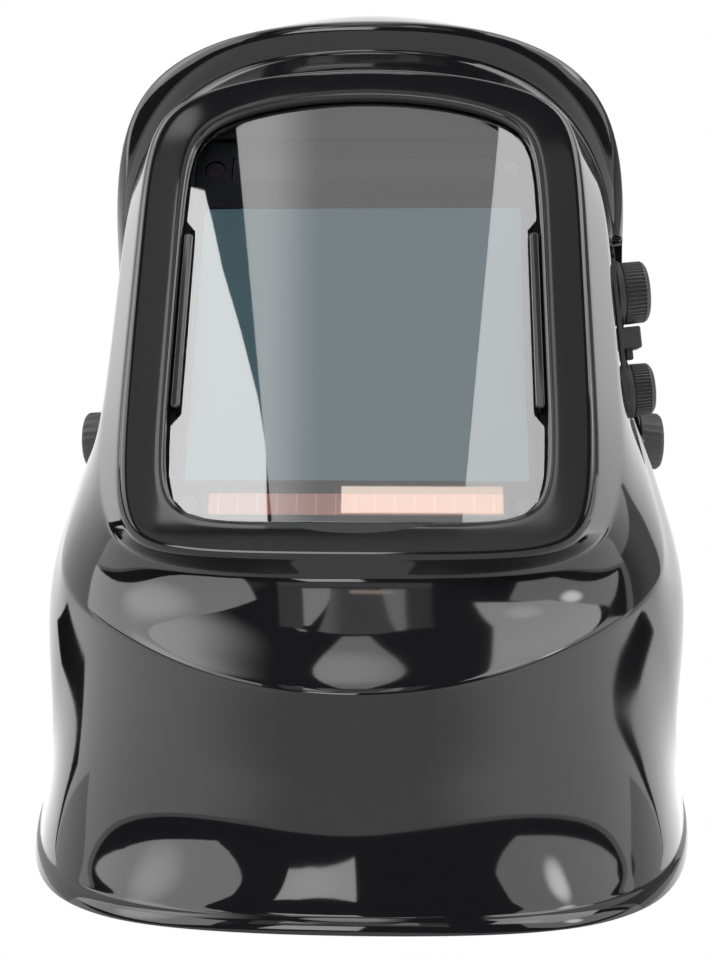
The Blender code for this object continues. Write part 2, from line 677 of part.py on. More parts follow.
band = finish("headband", ribbon(walk(band_path()), BAND_T, -BAND_H / 2, BAND_H / 2, B_MAT), BLACK, 0.5)

TAIL_A0 = SLOT_A0 + GAP
TAIL_A1 = SLOT_A1 - GAP
PAD_SECTION = ((0, -14), (0, 14), (0.45, 15.5), (0.85, 13), (1.0, 5), (1.0, -5), (0.85, -13), (0.45, -15.5))
brow_rings = []
for degrees in range(-50, 51, 10):
    turn = math.radians(degrees)
    x, a = band_point(turn)
    inward = Vector((-math.sin(turn) / BAND_X, math.cos(turn) / B_LONG)).normalized()
    fade = math.cos(turn * 90 / 58) ** 0.5
    ring = []
    for depth, m in PAD_SECTION:
        far = BAND_T / 2 + GAP + depth * (1.5 + PAD_THICK * fade)
        ring.append((x + inward.x * far, a + inward.y * far, m))
    brow_rings.append(ring)
finish("brow_pad", loft(brow_rings, B_MAT), (0.03, 0.03, 0.035), 0.9)

# Crown straps stand inside the band and the side arms outside it, one stud through all layers
STUD_HEAD = 4.0
for index, (y, top) in enumerate(zip(STRAP_Y, STRAP_TOP)):
    word = ("front", "rear")[index]
    along = (y - B_MID.y) / math.cos(B_LEAN)
    inboard = BAND_X * math.sqrt(1 - ((abs(along) + STRAP_W / 2 + 4.5) / B_LONG) ** 2)
    edge_x = inboard - BAND_T / 2 - GAP - STRAP_T / 2
    foot = B_MID.z + (y - B_MID.y) * math.tan(B_LEAN)
    rise = foot + 9
    line = [(edge_x, foot - 9), (edge_x, rise)]
    for degrees in range(15, 91, 15):
        turn = math.radians(degrees)
        line.append((edge_x * math.cos(turn), rise + (top - rise) * math.sin(turn)))
    path = [(-x, z) for x, z in line[:-1]]
    path += [(x, z) for x, z in reversed(line)]
    rings = []
    y0, y1 = y - STRAP_W / 2, y + STRAP_W / 2
    for i, (x, z) in enumerate(path):
        nx, nz = across(path, i, STRAP_T)
        rings.append([(x + nx, y0, z + nz), (x - nx, y0, z - nz), (x - nx, y1, z - nz), (x + nx, y1, z + nz)])
    strap = finish("crown_strap_" + word, loft(rings), BLACK, 0.55)
    for sign, hand in SIDES:
        reach = BAND_X + BAND_T / 2 + (GAP + ARM_T + GAP if index == 0 else GAP)
        place = Matrix.Scale(sign, 4, (1, 0, 0)) @ Matrix.Translation((0, y, foot))
        hole_body = turned(((edge_x - 9, STUD_R + GAP), (reach + 9, STUD_R + GAP)), 20, place)
        hole = finish("stud_hole_%s_%s" % (word, hand), hole_body, cutter=True)
        boolean(strap, hole)
        boolean(band, hole)
        inner = edge_x - STRAP_T / 2 - GAP
        stud = ((inner - 1.2, STUD_HEAD - 1), (inner - 0.4, STUD_HEAD), (inner, STUD_HEAD), (inner, STUD_R),
                (reach, STUD_R), (reach, STUD_HEAD), (reach + 0.5, STUD_HEAD), (reach + 1.2, STUD_HEAD - 1))
        finish("strap_stud_%s_%s" % (word, hand), turned(stud, 20, place), (0.4, 0.4, 0.4), 0.4, 1.0)

ARM_FOOT = B_MID.z + (STRAP_Y[0] - B_MID.y) * math.tan(B_LEAN)
ARM_TOP_X = BAND_X + BAND_T / 2 + GAP
ARM_PIVOT_X = BOSS_IN - GAP - ARM_T
ARM_LINE = ((ARM_PIVOT_X, PIVOT_Z - ARM_R, 5.5), (ARM_PIVOT_X, PIVOT_Z - ARM_R * 0.7, 9.8),
            (ARM_PIVOT_X, PIVOT_Z - 4, 12.8), (ARM_PIVOT_X, PIVOT_Z + 4, 12.8),
            (ARM_PIVOT_X, PIVOT_Z + 13, 10.5), (ARM_PIVOT_X - 2, PIVOT_Z + 17.5, 9.6),
            (ARM_TOP_X + 2, PIVOT_Z + 28, 8.4), (ARM_TOP_X, PIVOT_Z + 32.5, 8.0),
            (ARM_TOP_X, ARM_FOOT + 7, 8.0), (ARM_TOP_X, ARM_FOOT + 10, 5.0))
for sign, word in SIDES:
    rings = []
    for x, z, w in ARM_LINE:
        mid_y = PIVOT_Y + (STRAP_Y[0] - PIVOT_Y) * max(0, z - PIVOT_Z) / (ARM_FOOT - PIVOT_Z)
        y0, y1 = mid_y - w, mid_y + w
        rings.append([(x, y0, z), (x, y1, z), (x + ARM_T, y1, z), (x + ARM_T, y0, z)])
    arm = finish("side_arm_" + word, loft(rings, Matrix.Scale(sign, 4, (1, 0, 0))), BLACK, 0.5)
    boolean(arm, bpy.data.objects["pivot_bore_" + word])
    boolean(arm, bpy.data.objects["stud_hole_front_" + word])

# Ratchet at the nape: a dial turns a pinion between two opposed racks
house_line = rounded(-HOUSE_X, HOUSE_X, -HOUSE_M, HOUSE_M, 4)
house = finish("ratchet_housing", prism(house_line, HOUSE_A0, HOUSE_A1, B_MAT), BLACK, 0.5)
wing_line = rounded(-END_X - 6, END_X + 6, -WING_M, WING_M, 3)
wing = prism(wing_line, HOUSE_A0 - WING_T, END_A - BAND_T / 2 - GAP, B_MAT)
boolean(house, finish("housing_wing", wing, cutter=True), "UNION")
way = block(-HOUSE_X - 9, HOUSE_X + 9, SLOT_A0, SLOT_A1, -SLOT_M, SLOT_M, B_MAT)
boolean(house, finish("tail_way", way, cutter=True))
Q_MAT = B_MAT @ Matrix.Rotation(math.radians(90), 4, "Z")
STEM_R = 4.0
mouth = turned(((SLOT_A0 + SLOT_T / 2, STEM_R + SLIP), (HOUSE_A1 + 5, STEM_R + SLIP)), 32, Q_MAT)
boolean(house, finish("pinion_mouth", mouth, cutter=True))
nape_rings = []
NAPE_A = HOUSE_A0 - WING_T - GAP
for share, w, h in ((0.0, NAPE_X, NAPE_M), (0.36, NAPE_X + 2, NAPE_M + 1.5),
                    (0.76, NAPE_X + 0.5, NAPE_M + 0.3), (1.0, NAPE_X - 5, NAPE_M - 3.5)):
    outline = rounded(-w, w, -h, h, min(h, 6) - 0.1, 3)
    nape_rings.append([(x, NAPE_A - share * NAPE_T, z) for x, z in outline])
finish("nape_pad", loft(nape_rings, B_MAT), (0.03, 0.03, 0.035), 0.9)

PITCH = 2 * math.pi * PINION_R / PINION_N
ADD = 0.85
TAIL_M = SLOT_M - 1.0
RACK_TIP = PINION_R - ADD + 0.25
RACK_ROOT = PINION_R + ADD + 0.5


def rack(sign):
    """Flat tail with a toothed finger; the left one is the right one turned half round."""
    line = [(TAIL_X, -TAIL_M), (TAIL_X, TAIL_M), (-4 * PITCH, TAIL_M), (-4 * PITCH, RACK_ROOT)]
    for i in range(-3, 5):
        c = i * PITCH
        line += [(c - 0.75, RACK_ROOT), (c - 0.35, RACK_TIP), (c + 0.35, RACK_TIP), (c + 0.75, RACK_ROOT)]
    line += [(HOUSE_X + 1.5, RACK_ROOT), (HOUSE_X + 1.5, -TAIL_M)]
    if sign < 0:
        line = [(-x, -z) for x, z in line]
    return prism(line, TAIL_A0, TAIL_A1, B_MAT)


for sign, word in SIDES:
    finish("band_tail_" + word, rack(sign), BLACK, 0.5, origin=B_MAT @ Vector((0, TAIL_A0, 0)))

gear = []
TOOTH = ((-0.155, PINION_R - ADD - 0.15), (-0.06, PINION_R + ADD - 0.1),
         (0.06, PINION_R + ADD - 0.1), (0.155, PINION_R - ADD - 0.15))
for i in range(PINION_N):
    a = 2 * math.pi * (i + 0.5) / PINION_N
    gear += [(r * math.sin(a + shift), r * math.cos(a + shift)) for shift, r in TOOTH]
dial_origin = B_MAT @ Vector((0, HOUSE_A1, 0))
finish("ratchet_pinion", prism(gear, TAIL_A0, TAIL_A1, B_MAT), (0.25, 0.25, 0.25), 0.5, origin=dial_origin)
DIAL_A = HOUSE_A1 + SLIP
dial = ((TAIL_A1 + GAP, STEM_R), (DIAL_A, STEM_R), (DIAL_A, DIAL_R - 1.0), (DIAL_A + 1.0, DIAL_R, 1.2),
        (DIAL_A + DIAL_L - 2.2, DIAL_R - 1.0, 1.2), (DIAL_A + DIAL_L - 0.5, DIAL_R - 3.2, 0.3),
        (DIAL_A + DIAL_L, DIAL_R - 5.0))
finish("ratchet_knob", turned(dial, 36, Q_MAT), BLACK, 0.5, origin=dial_origin)
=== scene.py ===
# %% [markdown]
# Welding helmet. The imported model is the fixed frame: its solids hold the sizes and the joints,
# and this script only dresses them. Each piece made here is laid over the solid that it stands
# for, in metres and in the same frame, so nothing is moved or resized.

# %% Load the frame
import json
import math

import bpy
from mathutils import Matrix, Vector


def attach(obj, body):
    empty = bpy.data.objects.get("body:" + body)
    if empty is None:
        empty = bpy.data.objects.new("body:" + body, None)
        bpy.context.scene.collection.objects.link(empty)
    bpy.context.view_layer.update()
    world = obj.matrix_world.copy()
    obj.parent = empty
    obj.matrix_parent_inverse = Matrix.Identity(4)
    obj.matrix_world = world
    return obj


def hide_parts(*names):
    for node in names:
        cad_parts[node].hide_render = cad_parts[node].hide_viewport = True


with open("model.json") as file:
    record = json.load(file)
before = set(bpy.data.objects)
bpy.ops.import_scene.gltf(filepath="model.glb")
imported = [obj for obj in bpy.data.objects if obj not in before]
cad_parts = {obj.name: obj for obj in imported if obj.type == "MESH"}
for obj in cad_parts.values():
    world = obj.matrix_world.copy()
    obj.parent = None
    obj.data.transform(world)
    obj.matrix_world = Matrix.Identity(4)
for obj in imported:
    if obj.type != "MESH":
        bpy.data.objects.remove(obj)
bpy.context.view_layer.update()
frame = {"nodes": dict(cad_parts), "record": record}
nodes = frame["nodes"]
record = frame["record"]
slot_of = {part["node"]: part["material_slot"] for part in record["subparts"]}
body_of = {node: body for body, group in record["behaviour"]["bodies"].items() for node in group}
scene = bpy.context.scene
scene.view_settings.view_transform = "Standard"
MM = 0.001

# %% [markdown]
# The camera stands a little to the right of the helmet and level with the lower part of the
# window. Its place was solved from the four corners of the dark filter, whose size is known, so
# the same focal length and turn give the same perspective here. The lens is given in pixels of
# the frame's height and turned into millimetres of the sensor, which is what Blender asks for.

# %% Camera
SHIFT = Vector((0.0, -4.14, -0.9))
CAMERA_AT = Vector((16.5, -520.0, 120.0)) + SHIFT
FOCAL_PX = 1400.0
FRAME_TALL_PX = 960.0
SENSOR = 36.0
CAMERA_YAW = math.radians(2.28)
CAMERA_ROLL = math.radians(-0.2)
CLIP_START = 0.01
bpy.ops.object.camera_add(location=CAMERA_AT * MM)
camera = bpy.context.object
level = Matrix.Rotation(math.radians(90), 4, "X")
aim = Matrix.Rotation(CAMERA_YAW, 4, "Z") @ Matrix.Rotation(CAMERA_ROLL, 4, "Y") @ level
camera.rotation_euler = aim.to_euler()
camera.data.sensor_width = SENSOR
camera.data.sensor_fit = "AUTO"
camera.data.lens = FOCAL_PX / FRAME_TALL_PX * SENSOR
camera.data.clip_start = CLIP_START
scene.camera = camera
print("camera lens", round(camera.data.lens, 2))

# %% [markdown]
# A finish is a small tree of nodes. Adding and linking them one by one hides the sum that they
# stand for, so one class wraps a socket: plain operators add Math nodes, and its one method adds
# any other node. A finish then reads like the formula that it is.


# %% Shader sums
class Wire:
    """A shader socket that takes part in sums."""

    def __init__(self, tree, socket=None):
        self.tree = tree
        self.socket = socket

    def add(self, kind, settings=None, sockets=None, out=0):
        node = self.tree.nodes.new("ShaderNode" + kind)
        for name, value in (settings or {}).items():
            setattr(node, name, value)
        for name, value in (sockets or {}).items():
            if isinstance(value, Wire):
                self.tree.links.new(value.socket, node.inputs[name])
            else:
                node.inputs[name].default_value = value
        return Wire(self.tree, node.outputs[out])

    def sum(self, operation, other=0.0):
        return self.add("Math", {"operation": operation}, {0: self, 1: other})

    def __add__(self, other):
        return self.sum("ADD", other)

    def __mul__(self, other):
        return self.sum("MULTIPLY", other)

    def __sub__(self, other):
        return self.sum("SUBTRACT", other)

    def __rsub__(self, other):
        return self.add("Math", {"operation": "SUBTRACT"}, {0: other, 1: self})

    __radd__ = __add__
    __rmul__ = __mul__

    def clamp(self, low, high):
        return self.sum("MAXIMUM", low).sum("MINIMUM", high)

    def band(self, low, high):
        """0 below low, 1 above high."""
        return self.add("MapRange", {"interpolation_type": "SMOOTHSTEP"},
                        {"Value": self, "From Min": low, "From Max": high})


print("sums ready")

# %% [markdown]
# A second class holds one finish while it is mixed: the material, its shader and its Object
# coordinates. Every piece sits at the origin with its place in its mesh, so Object coordinates
# are metres on the helmet, and a grain has the same size on each piece. The Mix node has sockets
# that share their names, so it is reached by number.

# %% Finish
MIX_SHARE, MIX_FIRST, MIX_SECOND, MIX_COLOUR = 0, 6, 7, 2


class Finish:
    """A material being mixed: its tree, its shader and its Object coordinates."""

    def __init__(self, name, colour, rough, metal=0.0):
        self.material = bpy.data.materials.new(name)
        self.material.use_nodes = True
        self.tree = self.material.node_tree
        self.shader = self.tree.nodes["Principled BSDF"]
        self.set("Base Color", (*colour, 1.0))
        self.set("Roughness", rough)
        self.set("Metallic", metal)
        self.wire = Wire(self.tree)
        self.place = self.wire.add("TexCoord", out="Object")

    def set(self, name, value):
        if isinstance(value, Wire):
            self.tree.links.new(value.socket, self.shader.inputs[name])
        else:
            self.shader.inputs[name].default_value = value

    def noise(self, scale, detail=2.0):
        return self.wire.add("TexNoise", None, {"Vector": self.place, "Scale": scale, "Detail": detail})

    def uneven(self, mask, span, least):
        """Lets the roughness wander from least over a span."""
        self.set("Roughness", mask * span + least)

    def patchy(self, mask, first, second):
        """Mixes two base colours by a mask."""
        colours = {MIX_SHARE: mask, MIX_FIRST: (*first, 1.0), MIX_SECOND: (*second, 1.0)}
        self.set("Base Color", self.wire.add("Mix", {"data_type": "RGBA"}, colours, out=MIX_COLOUR))

    def bump(self, height, strength, distance):
        self.set("Normal", self.wire.add("Bump", None, {"Height": height, "Strength": strength,
                                                       "Distance": distance}))

    def surface(self, shader):
        self.tree.links.new(shader.socket, self.tree.nodes["Material Output"].inputs["Surface"])


print("finish class ready")

# %% [markdown]
# The shell is injection-moulded in polished black, so it shows little of its own colour and
# mostly what it mirrors. A slow noise dulls it in places, as handling does, a few pale specks of
# dust lie on it, and a very weak bump keeps mirrored lines from being ruler-straight.

# %% Polished black
GLOSS_BLACK = (0.010, 0.010, 0.011)
DUST = (0.16, 0.16, 0.15)
DUST_SHARE = 0.5
gloss = Finish("polished_black", GLOSS_BLACK, 0.06)
gloss.uneven(gloss.noise(9.0, 4.0).band(0.35, 0.8), span=0.05, least=0.035)
specks = gloss.wire.add("TexVoronoi", None, {"Vector": gloss.place, "Scale": 260.0}, out="Distance")
dusty = (1.0 - specks.band(0.02, 0.05)) * gloss.noise(30.0).band(0.62, 0.7)
gloss.patchy(dusty * DUST_SHARE, GLOSS_BLACK, DUST)
gloss.bump(gloss.noise(55.0, 1.0), strength=0.02, distance=0.0004)
print("made", gloss.material.name)

# %% [markdown]
# The small parts are black too, but each from another tool: satin for levers, a fine spark grain
# for knobs and housings, a softer sheen for the flexible bands, and a flat black for the filter's
# case, which hardly shines behind the lens. They differ in grain size, sheen and depth of black.

# %% Other black plastics
satin = Finish("satin_black", (0.018, 0.018, 0.019), 0.38)
satin.uneven(satin.noise(40.0, 4.0), span=0.16, least=0.30)
satin.patchy(satin.noise(16.0, 3.0).band(0.35, 0.75), (0.010, 0.010, 0.011), (0.018, 0.018, 0.019))
satin.bump(satin.noise(1400.0, 2.0), strength=0.12, distance=0.0002)

grain = Finish("grained_black", (0.02, 0.02, 0.021), 0.5)
grain.uneven(grain.noise(60.0, 4.0), span=0.2, least=0.38)
grain.patchy(grain.noise(900.0, 2.0), (0.012, 0.012, 0.013), (0.030, 0.030, 0.031))
grain.bump(grain.noise(2200.0, 3.0), strength=0.25, distance=0.0002)

band_black = Finish("band_black", (0.022, 0.022, 0.023), 0.45)
band_black.uneven(band_black.noise(70.0, 4.0), span=0.2, least=0.34)
band_black.patchy(band_black.noise(22.0, 4.0).band(0.4, 0.8), (0.017, 0.017, 0.018), (0.032, 0.032, 0.033))
band_black.bump(band_black.noise(1100.0, 2.0), strength=0.18, distance=0.0002)

case = Finish("case_black", (0.006, 0.006, 0.007), 0.45)
case.patchy(case.noise(40.0, 3.0).band(0.3, 0.7), (0.005, 0.005, 0.006), (0.009, 0.009, 0.010))
case.uneven(case.noise(300.0, 3.0), span=0.15, least=0.38)
case.set("Specular IOR Level", 0.08)
print("made", [f.material.name for f in (satin, grain, band_black, case)])

# %% [markdown]
# The cover lens is a thin clear sheet. A true glass shader would bend light and need many
# samples, so a transparent and a glossy shader are mixed by the Fresnel share instead. Its rear
# face is left wholly clear, because seen from inside it would turn into a full mirror at a slant.

# %% Clear cover lens
LENS_IOR = 1.58
LENS_SHINE, LENS_LEAST = 3.0, 0.01
clear = Finish("clear_polycarbonate", (0.9, 0.92, 0.92), 0.02)
see = clear.wire.add("BsdfTransparent", None, {"Color": (0.96, 0.97, 0.97, 1.0)})
shine = clear.wire.add("BsdfGlossy", None, {"Color": (1.0, 1.0, 1.0, 1.0), "Roughness": 0.015})
edge_on = clear.wire.add("Fresnel", None, {"IOR": LENS_IOR})
back_face = clear.wire.add("NewGeometry", out="Backfacing")
mirrored_share = (edge_on * LENS_SHINE + LENS_LEAST) * (1.0 - back_face)
clear.surface(clear.wire.add("MixShader", None, {0: mirrored_share, 1: see, 2: shine}))
print("made", clear.material.name)

# %% [markdown]
# Behind the lens are the blue-green filter glass, a strip of copper coloured solar cells and the
# dark windows of the arc sensors. The cells are one plate with thin pale lines between them: the
# fraction of the run along the strip gives a saw tooth, and its ends are the lines.

# %% Filter, cells and sensors
glass = Finish("filter_glass", (0.07, 0.125, 0.148), 0.35)
glass.patchy(glass.noise(7.0, 2.0).band(0.3, 0.7), (0.066, 0.12, 0.143), (0.078, 0.133, 0.153))
glass.set("Specular IOR Level", 0.2)

CELL_COPPER = (0.29, 0.12, 0.10)
CELL_LINE = (0.36, 0.26, 0.22)
CELL_PITCH = 5.8 * MM
solar = Finish("solar_cells", CELL_COPPER, 0.4, metal=0.55)
run = solar.wire.add("SeparateXYZ", None, {"Vector": solar.place}, out="X")
phase = (run * (1.0 / CELL_PITCH)).sum("FRACT")
solar.patchy((phase - 0.5).sum("ABSOLUTE").band(0.462, 0.478), CELL_COPPER, CELL_LINE)
solar.uneven(solar.noise(220.0, 3.0), span=0.15, least=0.36)

sensor = Finish("sensor_window", (0.02, 0.014, 0.018), 0.08)
sensor.uneven(sensor.noise(300.0), span=0.06, least=0.05)
sensor.set("Specular IOR Level", 0.15)
print("made", [f.material.name for f in (glass, solar, sensor)])

# %% [markdown]
# Studs, bolts and the battery cell are plated steel, the friction washers are grey fibre, and the
# pads are covered with a woven cloth. Two crossed Wave textures make the threads, in the colour,
# the roughness and the bump alike, so that the weave also shows in a grazing light.

# %% Steel, fibre and cloth
steel = Finish("plated_steel", (0.62, 0.62, 0.63), 0.3, metal=1.0)
steel.uneven(steel.noise(500.0, 4.0), span=0.2, least=0.22)
steel.bump(steel.noise(900.0, 3.0), strength=0.05, distance=0.0001)

fibre = Finish("washer_fibre", (0.16, 0.16, 0.165), 0.8)
fibre.patchy(fibre.noise(1500.0, 3.0), (0.11, 0.11, 0.115), (0.2, 0.2, 0.2))

THREADS = 420.0
cloth = Finish("pad_cloth", (0.03, 0.03, 0.033), 0.9)
weave = [cloth.wire.add("TexWave", {"bands_direction": way}, {"Vector": cloth.place, "Scale": THREADS})
         for way in "XZ"]
threads = weave[0] * 0.5 + weave[1] * 0.5
cloth.patchy(threads, (0.016, 0.016, 0.018), (0.05, 0.05, 0.054))
cloth.uneven(threads, span=-0.15, least=0.95)
cloth.bump(threads + cloth.noise(700.0) * 0.5, strength=0.5, distance=0.0004)
print("made", [f.material.name for f in (steel, fibre, cloth)])

# %% [markdown]
# The shell is the main piece: a window block that stands forward of a hood, with a brim over it,
# a scooped chin below it and a flared rim. It could be sculpted, but then its edges would wander.
# It is skinned instead on rings that run round the window and out to the rim, with thirteen
# stations from the bottom to the top of the right half. Points on the window block are written
# across and up the tilted window, and the others in space.

# %% Shell stations, in millimetres
TILT = math.radians(24.0)
WINDOW_AT = Vector((0, -95.0, 162.0))
WINDOW = Matrix.Translation(WINDOW_AT + SHIFT) @ Matrix.Rotation(-TILT, 4, "X")
LENS = ((0, -58.5), (24, -58.5), (44, -58.5), (55, -53), (56.5, -34), (56.5, -12),
        (56.5, 12), (56.5, 36), (56.5, 60), (54, 79), (41, 87), (21, 92), (0, 93.5))
FACE = ((0, -70), (27, -70), (54, -69), (67, -63), (70, -40), (70.5, -14), (70.5, 12),
        (70.5, 38), (70.5, 64), (67.5, 88), (49, 98), (25, 103.5), (0, 105))
ROOT = ((0, -121.5, 91.5), (28, -119, 92), (56, -112, 94), (76, -100, 101), (83, -83, 122),
        (83.5, -68, 147), (84, -55, 170), (84, -43, 195), (83, -33, 219), (76, -31, 239),
        (55, -37, 252), (28, -41, 259.5), (0, -42, 262))
STEP = ((0, -129.5, 76.2), (27.5, -126.6, 77.3), (54, -118.2, 81.2), (76.8, -101.3, 90.3),
        (88.2, -78.6, 106.6), (90, -55, 129.8), (89, -31.4, 156), (88.4, -13, 184.5),
        (89.5, -6, 211), (81.5, -12, 236), (63, -18, 257.5), (35.5, -23, 269), (0, -25, 270.5))
LIP = ((0, -142.7, 64), (27.1, -139.2, 65.8), (53.2, -129, 71.5), (80.6, -105.5, 81.2),
       (96.8, -76.6, 92.6), (99.6, -42.2, 113), (93, -16, 147.5), (90, -4, 181.5),
       (91.5, -7.5, 212), (85, -13.5, 240), (68, -20.5, 261.5), (39, -25.5, 272.5), (0, -27.5, 274))
CREST = ((0, -144.5, 61.6), (27, -141, 63.5), (53, -130.5, 69.5), (81, -106, 79.5), (98, -76, 90),
         (101, -40, 110), (94.5, -12, 145), (91, 0, 180), (95.5, 3, 214), (93, -6, 245),
         (80, -16, 267.3), (47, -26, 279.8), (0, -29, 281.8))
MID = ((0, -142.5, 40), (28, -139, 41), (55, -127.5, 43), (83, -104, 47), (101.5, -68, 58),
       (118.5, -20, 84), (118, 16, 100), (102, 32, 150), (98, 32, 205), (89, 26, 250),
       (72, 14, 277), (40, 12, 293), (0, 12, 300))
NEAR = ((0, -146, 24), (28.5, -142.5, 24), (57, -131, 24), (86, -106, 24), (100, -70, 30),
        (112, -8, 42), (112, 46, 26), (102.5, 66, 110), (97.5, 66, 185), (88, 60, 249),
        (67, 54, 282), (37, 48, 301), (0, 46, 307))
EDGE = ((0, -155, 0), (34, -153.5, 0), (66, -146, 0), (90, -119, 0), (106.5, -73, 3),
        (113, -8, 14), (110, 58, -23), (103, 84, 100), (97.5, 86, 180), (88, 84, 249),
        (66, 78, 281), (37, 73, 300), (0, 71, 306))
BROW_D, BROW_X, BROW_S = 1.4, 1.012, 1.008


def on_window(x, s, d):
    """Point across, up and behind the window's face."""
    return WINDOW @ Vector((x, d, s))


def stations():
    """Right halves of the main rings, from the brow of the window block out to the rim."""
    brow = [on_window(x * BROW_X, s * BROW_S, BROW_D) for x, s in FACE]
    return [brow] + [[Vector(p) + SHIFT for p in ring] for ring in (ROOT, STEP, LIP, CREST, MID, NEAR, EDGE)]


print("stations", len(stations()), "by", len(EDGE))

# %% [markdown]
# A moulding has walls of one thickness. A Solidify modifier could give that, but it would also
# thicken the lens ledge and the rim's bead, which have shapes of their own. So whole rings are
# moved along the normals of their own grid: inward for the inner wall, and a little outward or
# inward for the bead and the groove at the rim.

# %% Rings moved along their normals
HEART = Vector((0, 40, 150)) + SHIFT


def across(p):
    """The same point on the left half."""
    return Vector((-p.x, p.y, p.z))


def moved_in(rows, distance):
    """Moves rings inward along the normals of their own grid."""
    result = []
    for j, row in enumerate(rows):
        line = []
        for k, p in enumerate(row):
            before = row[k - 1] if k > 0 else across(row[1])
            after = row[k + 1] if k < len(row) - 1 else across(row[-2])
            inner = rows[max(j - 1, 0)][k]
            outer = rows[min(j + 1, len(rows) - 1)][k]
            normal = (after - before).cross(outer - inner).normalized()
            if normal.dot(p - HEART) < 0:
                normal = -normal
            q = p - normal * distance
            if k in (0, len(row) - 1):
                q.x = 0.0
            line.append(q)
        result.append(line)
    return result


print("moved in 1 mm, the rim is at", round(moved_in(stations(), 1.0)[-1][0].y, 2), "mm")

# %% [markdown]
# Two close rings make a firm edge and one alone a soft bend. So rings are doubled where the real
# moulding has an edge: at the bezel, the root of the block, the crest, and the rim's groove and
# bead. Edge creases could do the same, but here the gap between two rings sets how round the edge
# is, and it can widen from one station to the next.

# %% Shell rings
WALL = 3.0
LEDGE, LENS_LIP = 5.0, 1.0
RIM_PROUD, RIM_GROOVE = 0.8, -0.5
# Shares of the way from one station to the next at which a further ring stands
BEZEL_AT = (0.08, 0.2, 0.8, 0.96)
BLOCK_AT, BLOCK_INSIDE_AT = (0.12, 0.85), 0.8
CREST_AT, CREST_INSIDE_AT = 0.08, 0.14
RIM_AT, GROOVE_AT, BEAD_AT, RIM_INSIDE_AT = 0.74, 0.79, (0.84, 0.98), (0.98, 0.8)
SEAT_SCALE, SHOULDER_SCALE, SHOULDER_D = 0.94, 0.958, 3.0


def mix(first, second, t):
    """The ring at a share of the way from one ring to another."""
    return [p.lerp(q, t) for p, q in zip(first, second)]


def outer_rings():
    """Outside of the shell, from the window block out to the groove and bead along the rim."""
    brow, root, step, lip, crest, middle, near, edge = stations()
    coarse = [brow, root, step, crest, middle, near, edge]
    proud = moved_in(coarse, -RIM_PROUD)[-2:]
    sunk = moved_in(coarse, -RIM_GROOVE)[-2:]
    return ([brow] + [mix(brow, root, t) for t in BLOCK_AT] + [root, step, lip, crest]
            + [mix(crest, middle, CREST_AT), middle, near, mix(near, edge, RIM_AT), mix(*sunk, GROOVE_AT)]
            + [mix(*proud, t) for t in BEAD_AT] + [edge])


def shell_rings():
    """All rings in order: lens ledge, bezel, outside, rim and back along the inner wall."""
    face = [on_window(x, s, 0) for x, s in FACE]
    lens = [on_window(x, s, 0) for x, s in LENS]
    rings = [[on_window(x, s, d) for x, s in LENS] for d in (LEDGE, LENS_LIP)]
    rings += [mix(lens, face, t) for t in BEZEL_AT] + outer_rings()
    seat = [on_window(x * SEAT_SCALE, s * SEAT_SCALE, LEDGE) for x, s in FACE]
    shoulder = [on_window(x * SHOULDER_SCALE, s * SHOULDER_SCALE, LEDGE + SHOULDER_D) for x, s in FACE]
    brow, root, step, lip, crest, middle, near, edge = stations()
    inside = moved_in([brow, root, step, crest, middle, near, edge], WALL)
    i_root, i_step, i_crest, i_mid, i_near, i_edge = inside[1:]
    for p, q in zip(i_edge, edge):
        p.z = q.z
    rings += [mix(i_near, i_edge, t) for t in RIM_INSIDE_AT] + [i_near, i_mid]
    rings += [mix(i_crest, i_mid, CREST_INSIDE_AT), i_crest, i_step, i_root]
    return rings + [mix(shoulder, i_root, BLOCK_INSIDE_AT), shoulder, seat]


def whole(rings):
    """Full loops from the right halves."""
    return [ring + [across(p) for p in reversed(ring[1:-1])] for ring in rings]


print("rings", len(shell_rings()))

# %% [markdown]
# An operator acts on all that is selected, as it does in Blender's window. These helpers leave
# edit mode, deselect everything and take one piece, so that each step below starts clean. The
# modifiers of a piece are applied in the order in which they were added.

# %% Taking one piece


def clear_selection():
    if bpy.context.mode != "OBJECT":
        bpy.ops.object.mode_set(mode="OBJECT")
    bpy.ops.object.select_all(action="DESELECT")


def take(obj):
    clear_selection()
    obj.select_set(True)
    bpy.context.view_layer.objects.active = obj


def apply_all(obj):
    take(obj)
    for modifier in list(obj.modifiers):
        bpy.ops.object.modifier_apply(modifier=modifier.name)


clear_selection()
print("selected", len(bpy.context.selected_objects))

# %% [markdown]
# A skin starts as a flat grid with as many rows as there are rings. Its points are laid on the
# rings, the seam is merged, and a Subdivision Surface makes the polished curve between them. The
# same helper gives every turned or cut-out form below. Points that the smoothing leaves under the
# floor are lifted to it, because the helmet stands on its rim.

# %% Shell skin
SHELL_LEVELS = 3
SEAM = 0.000001


def skinned(name, loops, closes=False):
    """Skins rings of points in millimetres; the row of rings closes on itself or gets two ends."""
    rows, count = len(loops), len(loops[0])
    clear_selection()
    bpy.ops.mesh.primitive_grid_add(x_subdivisions=count, y_subdivisions=rows if closes else rows - 1,
                                    size=1.0)
    obj = bpy.context.object
    obj.name = name
    obj.location = (0, 0, 0)
    for index, vertex in enumerate(obj.data.vertices):
        row, column = divmod(index, count + 1)
        vertex.co = Vector(loops[row % rows][column % count]) * MM
    bpy.ops.object.mode_set(mode="EDIT")
    bpy.ops.mesh.select_all(action="SELECT")
    bpy.ops.mesh.remove_doubles(threshold=SEAM)
    if not closes:
        bpy.ops.mesh.fill_holes(sides=0)
    bpy.ops.mesh.normals_make_consistent(inside=False)
    bpy.ops.object.mode_set(mode="OBJECT")
    return obj


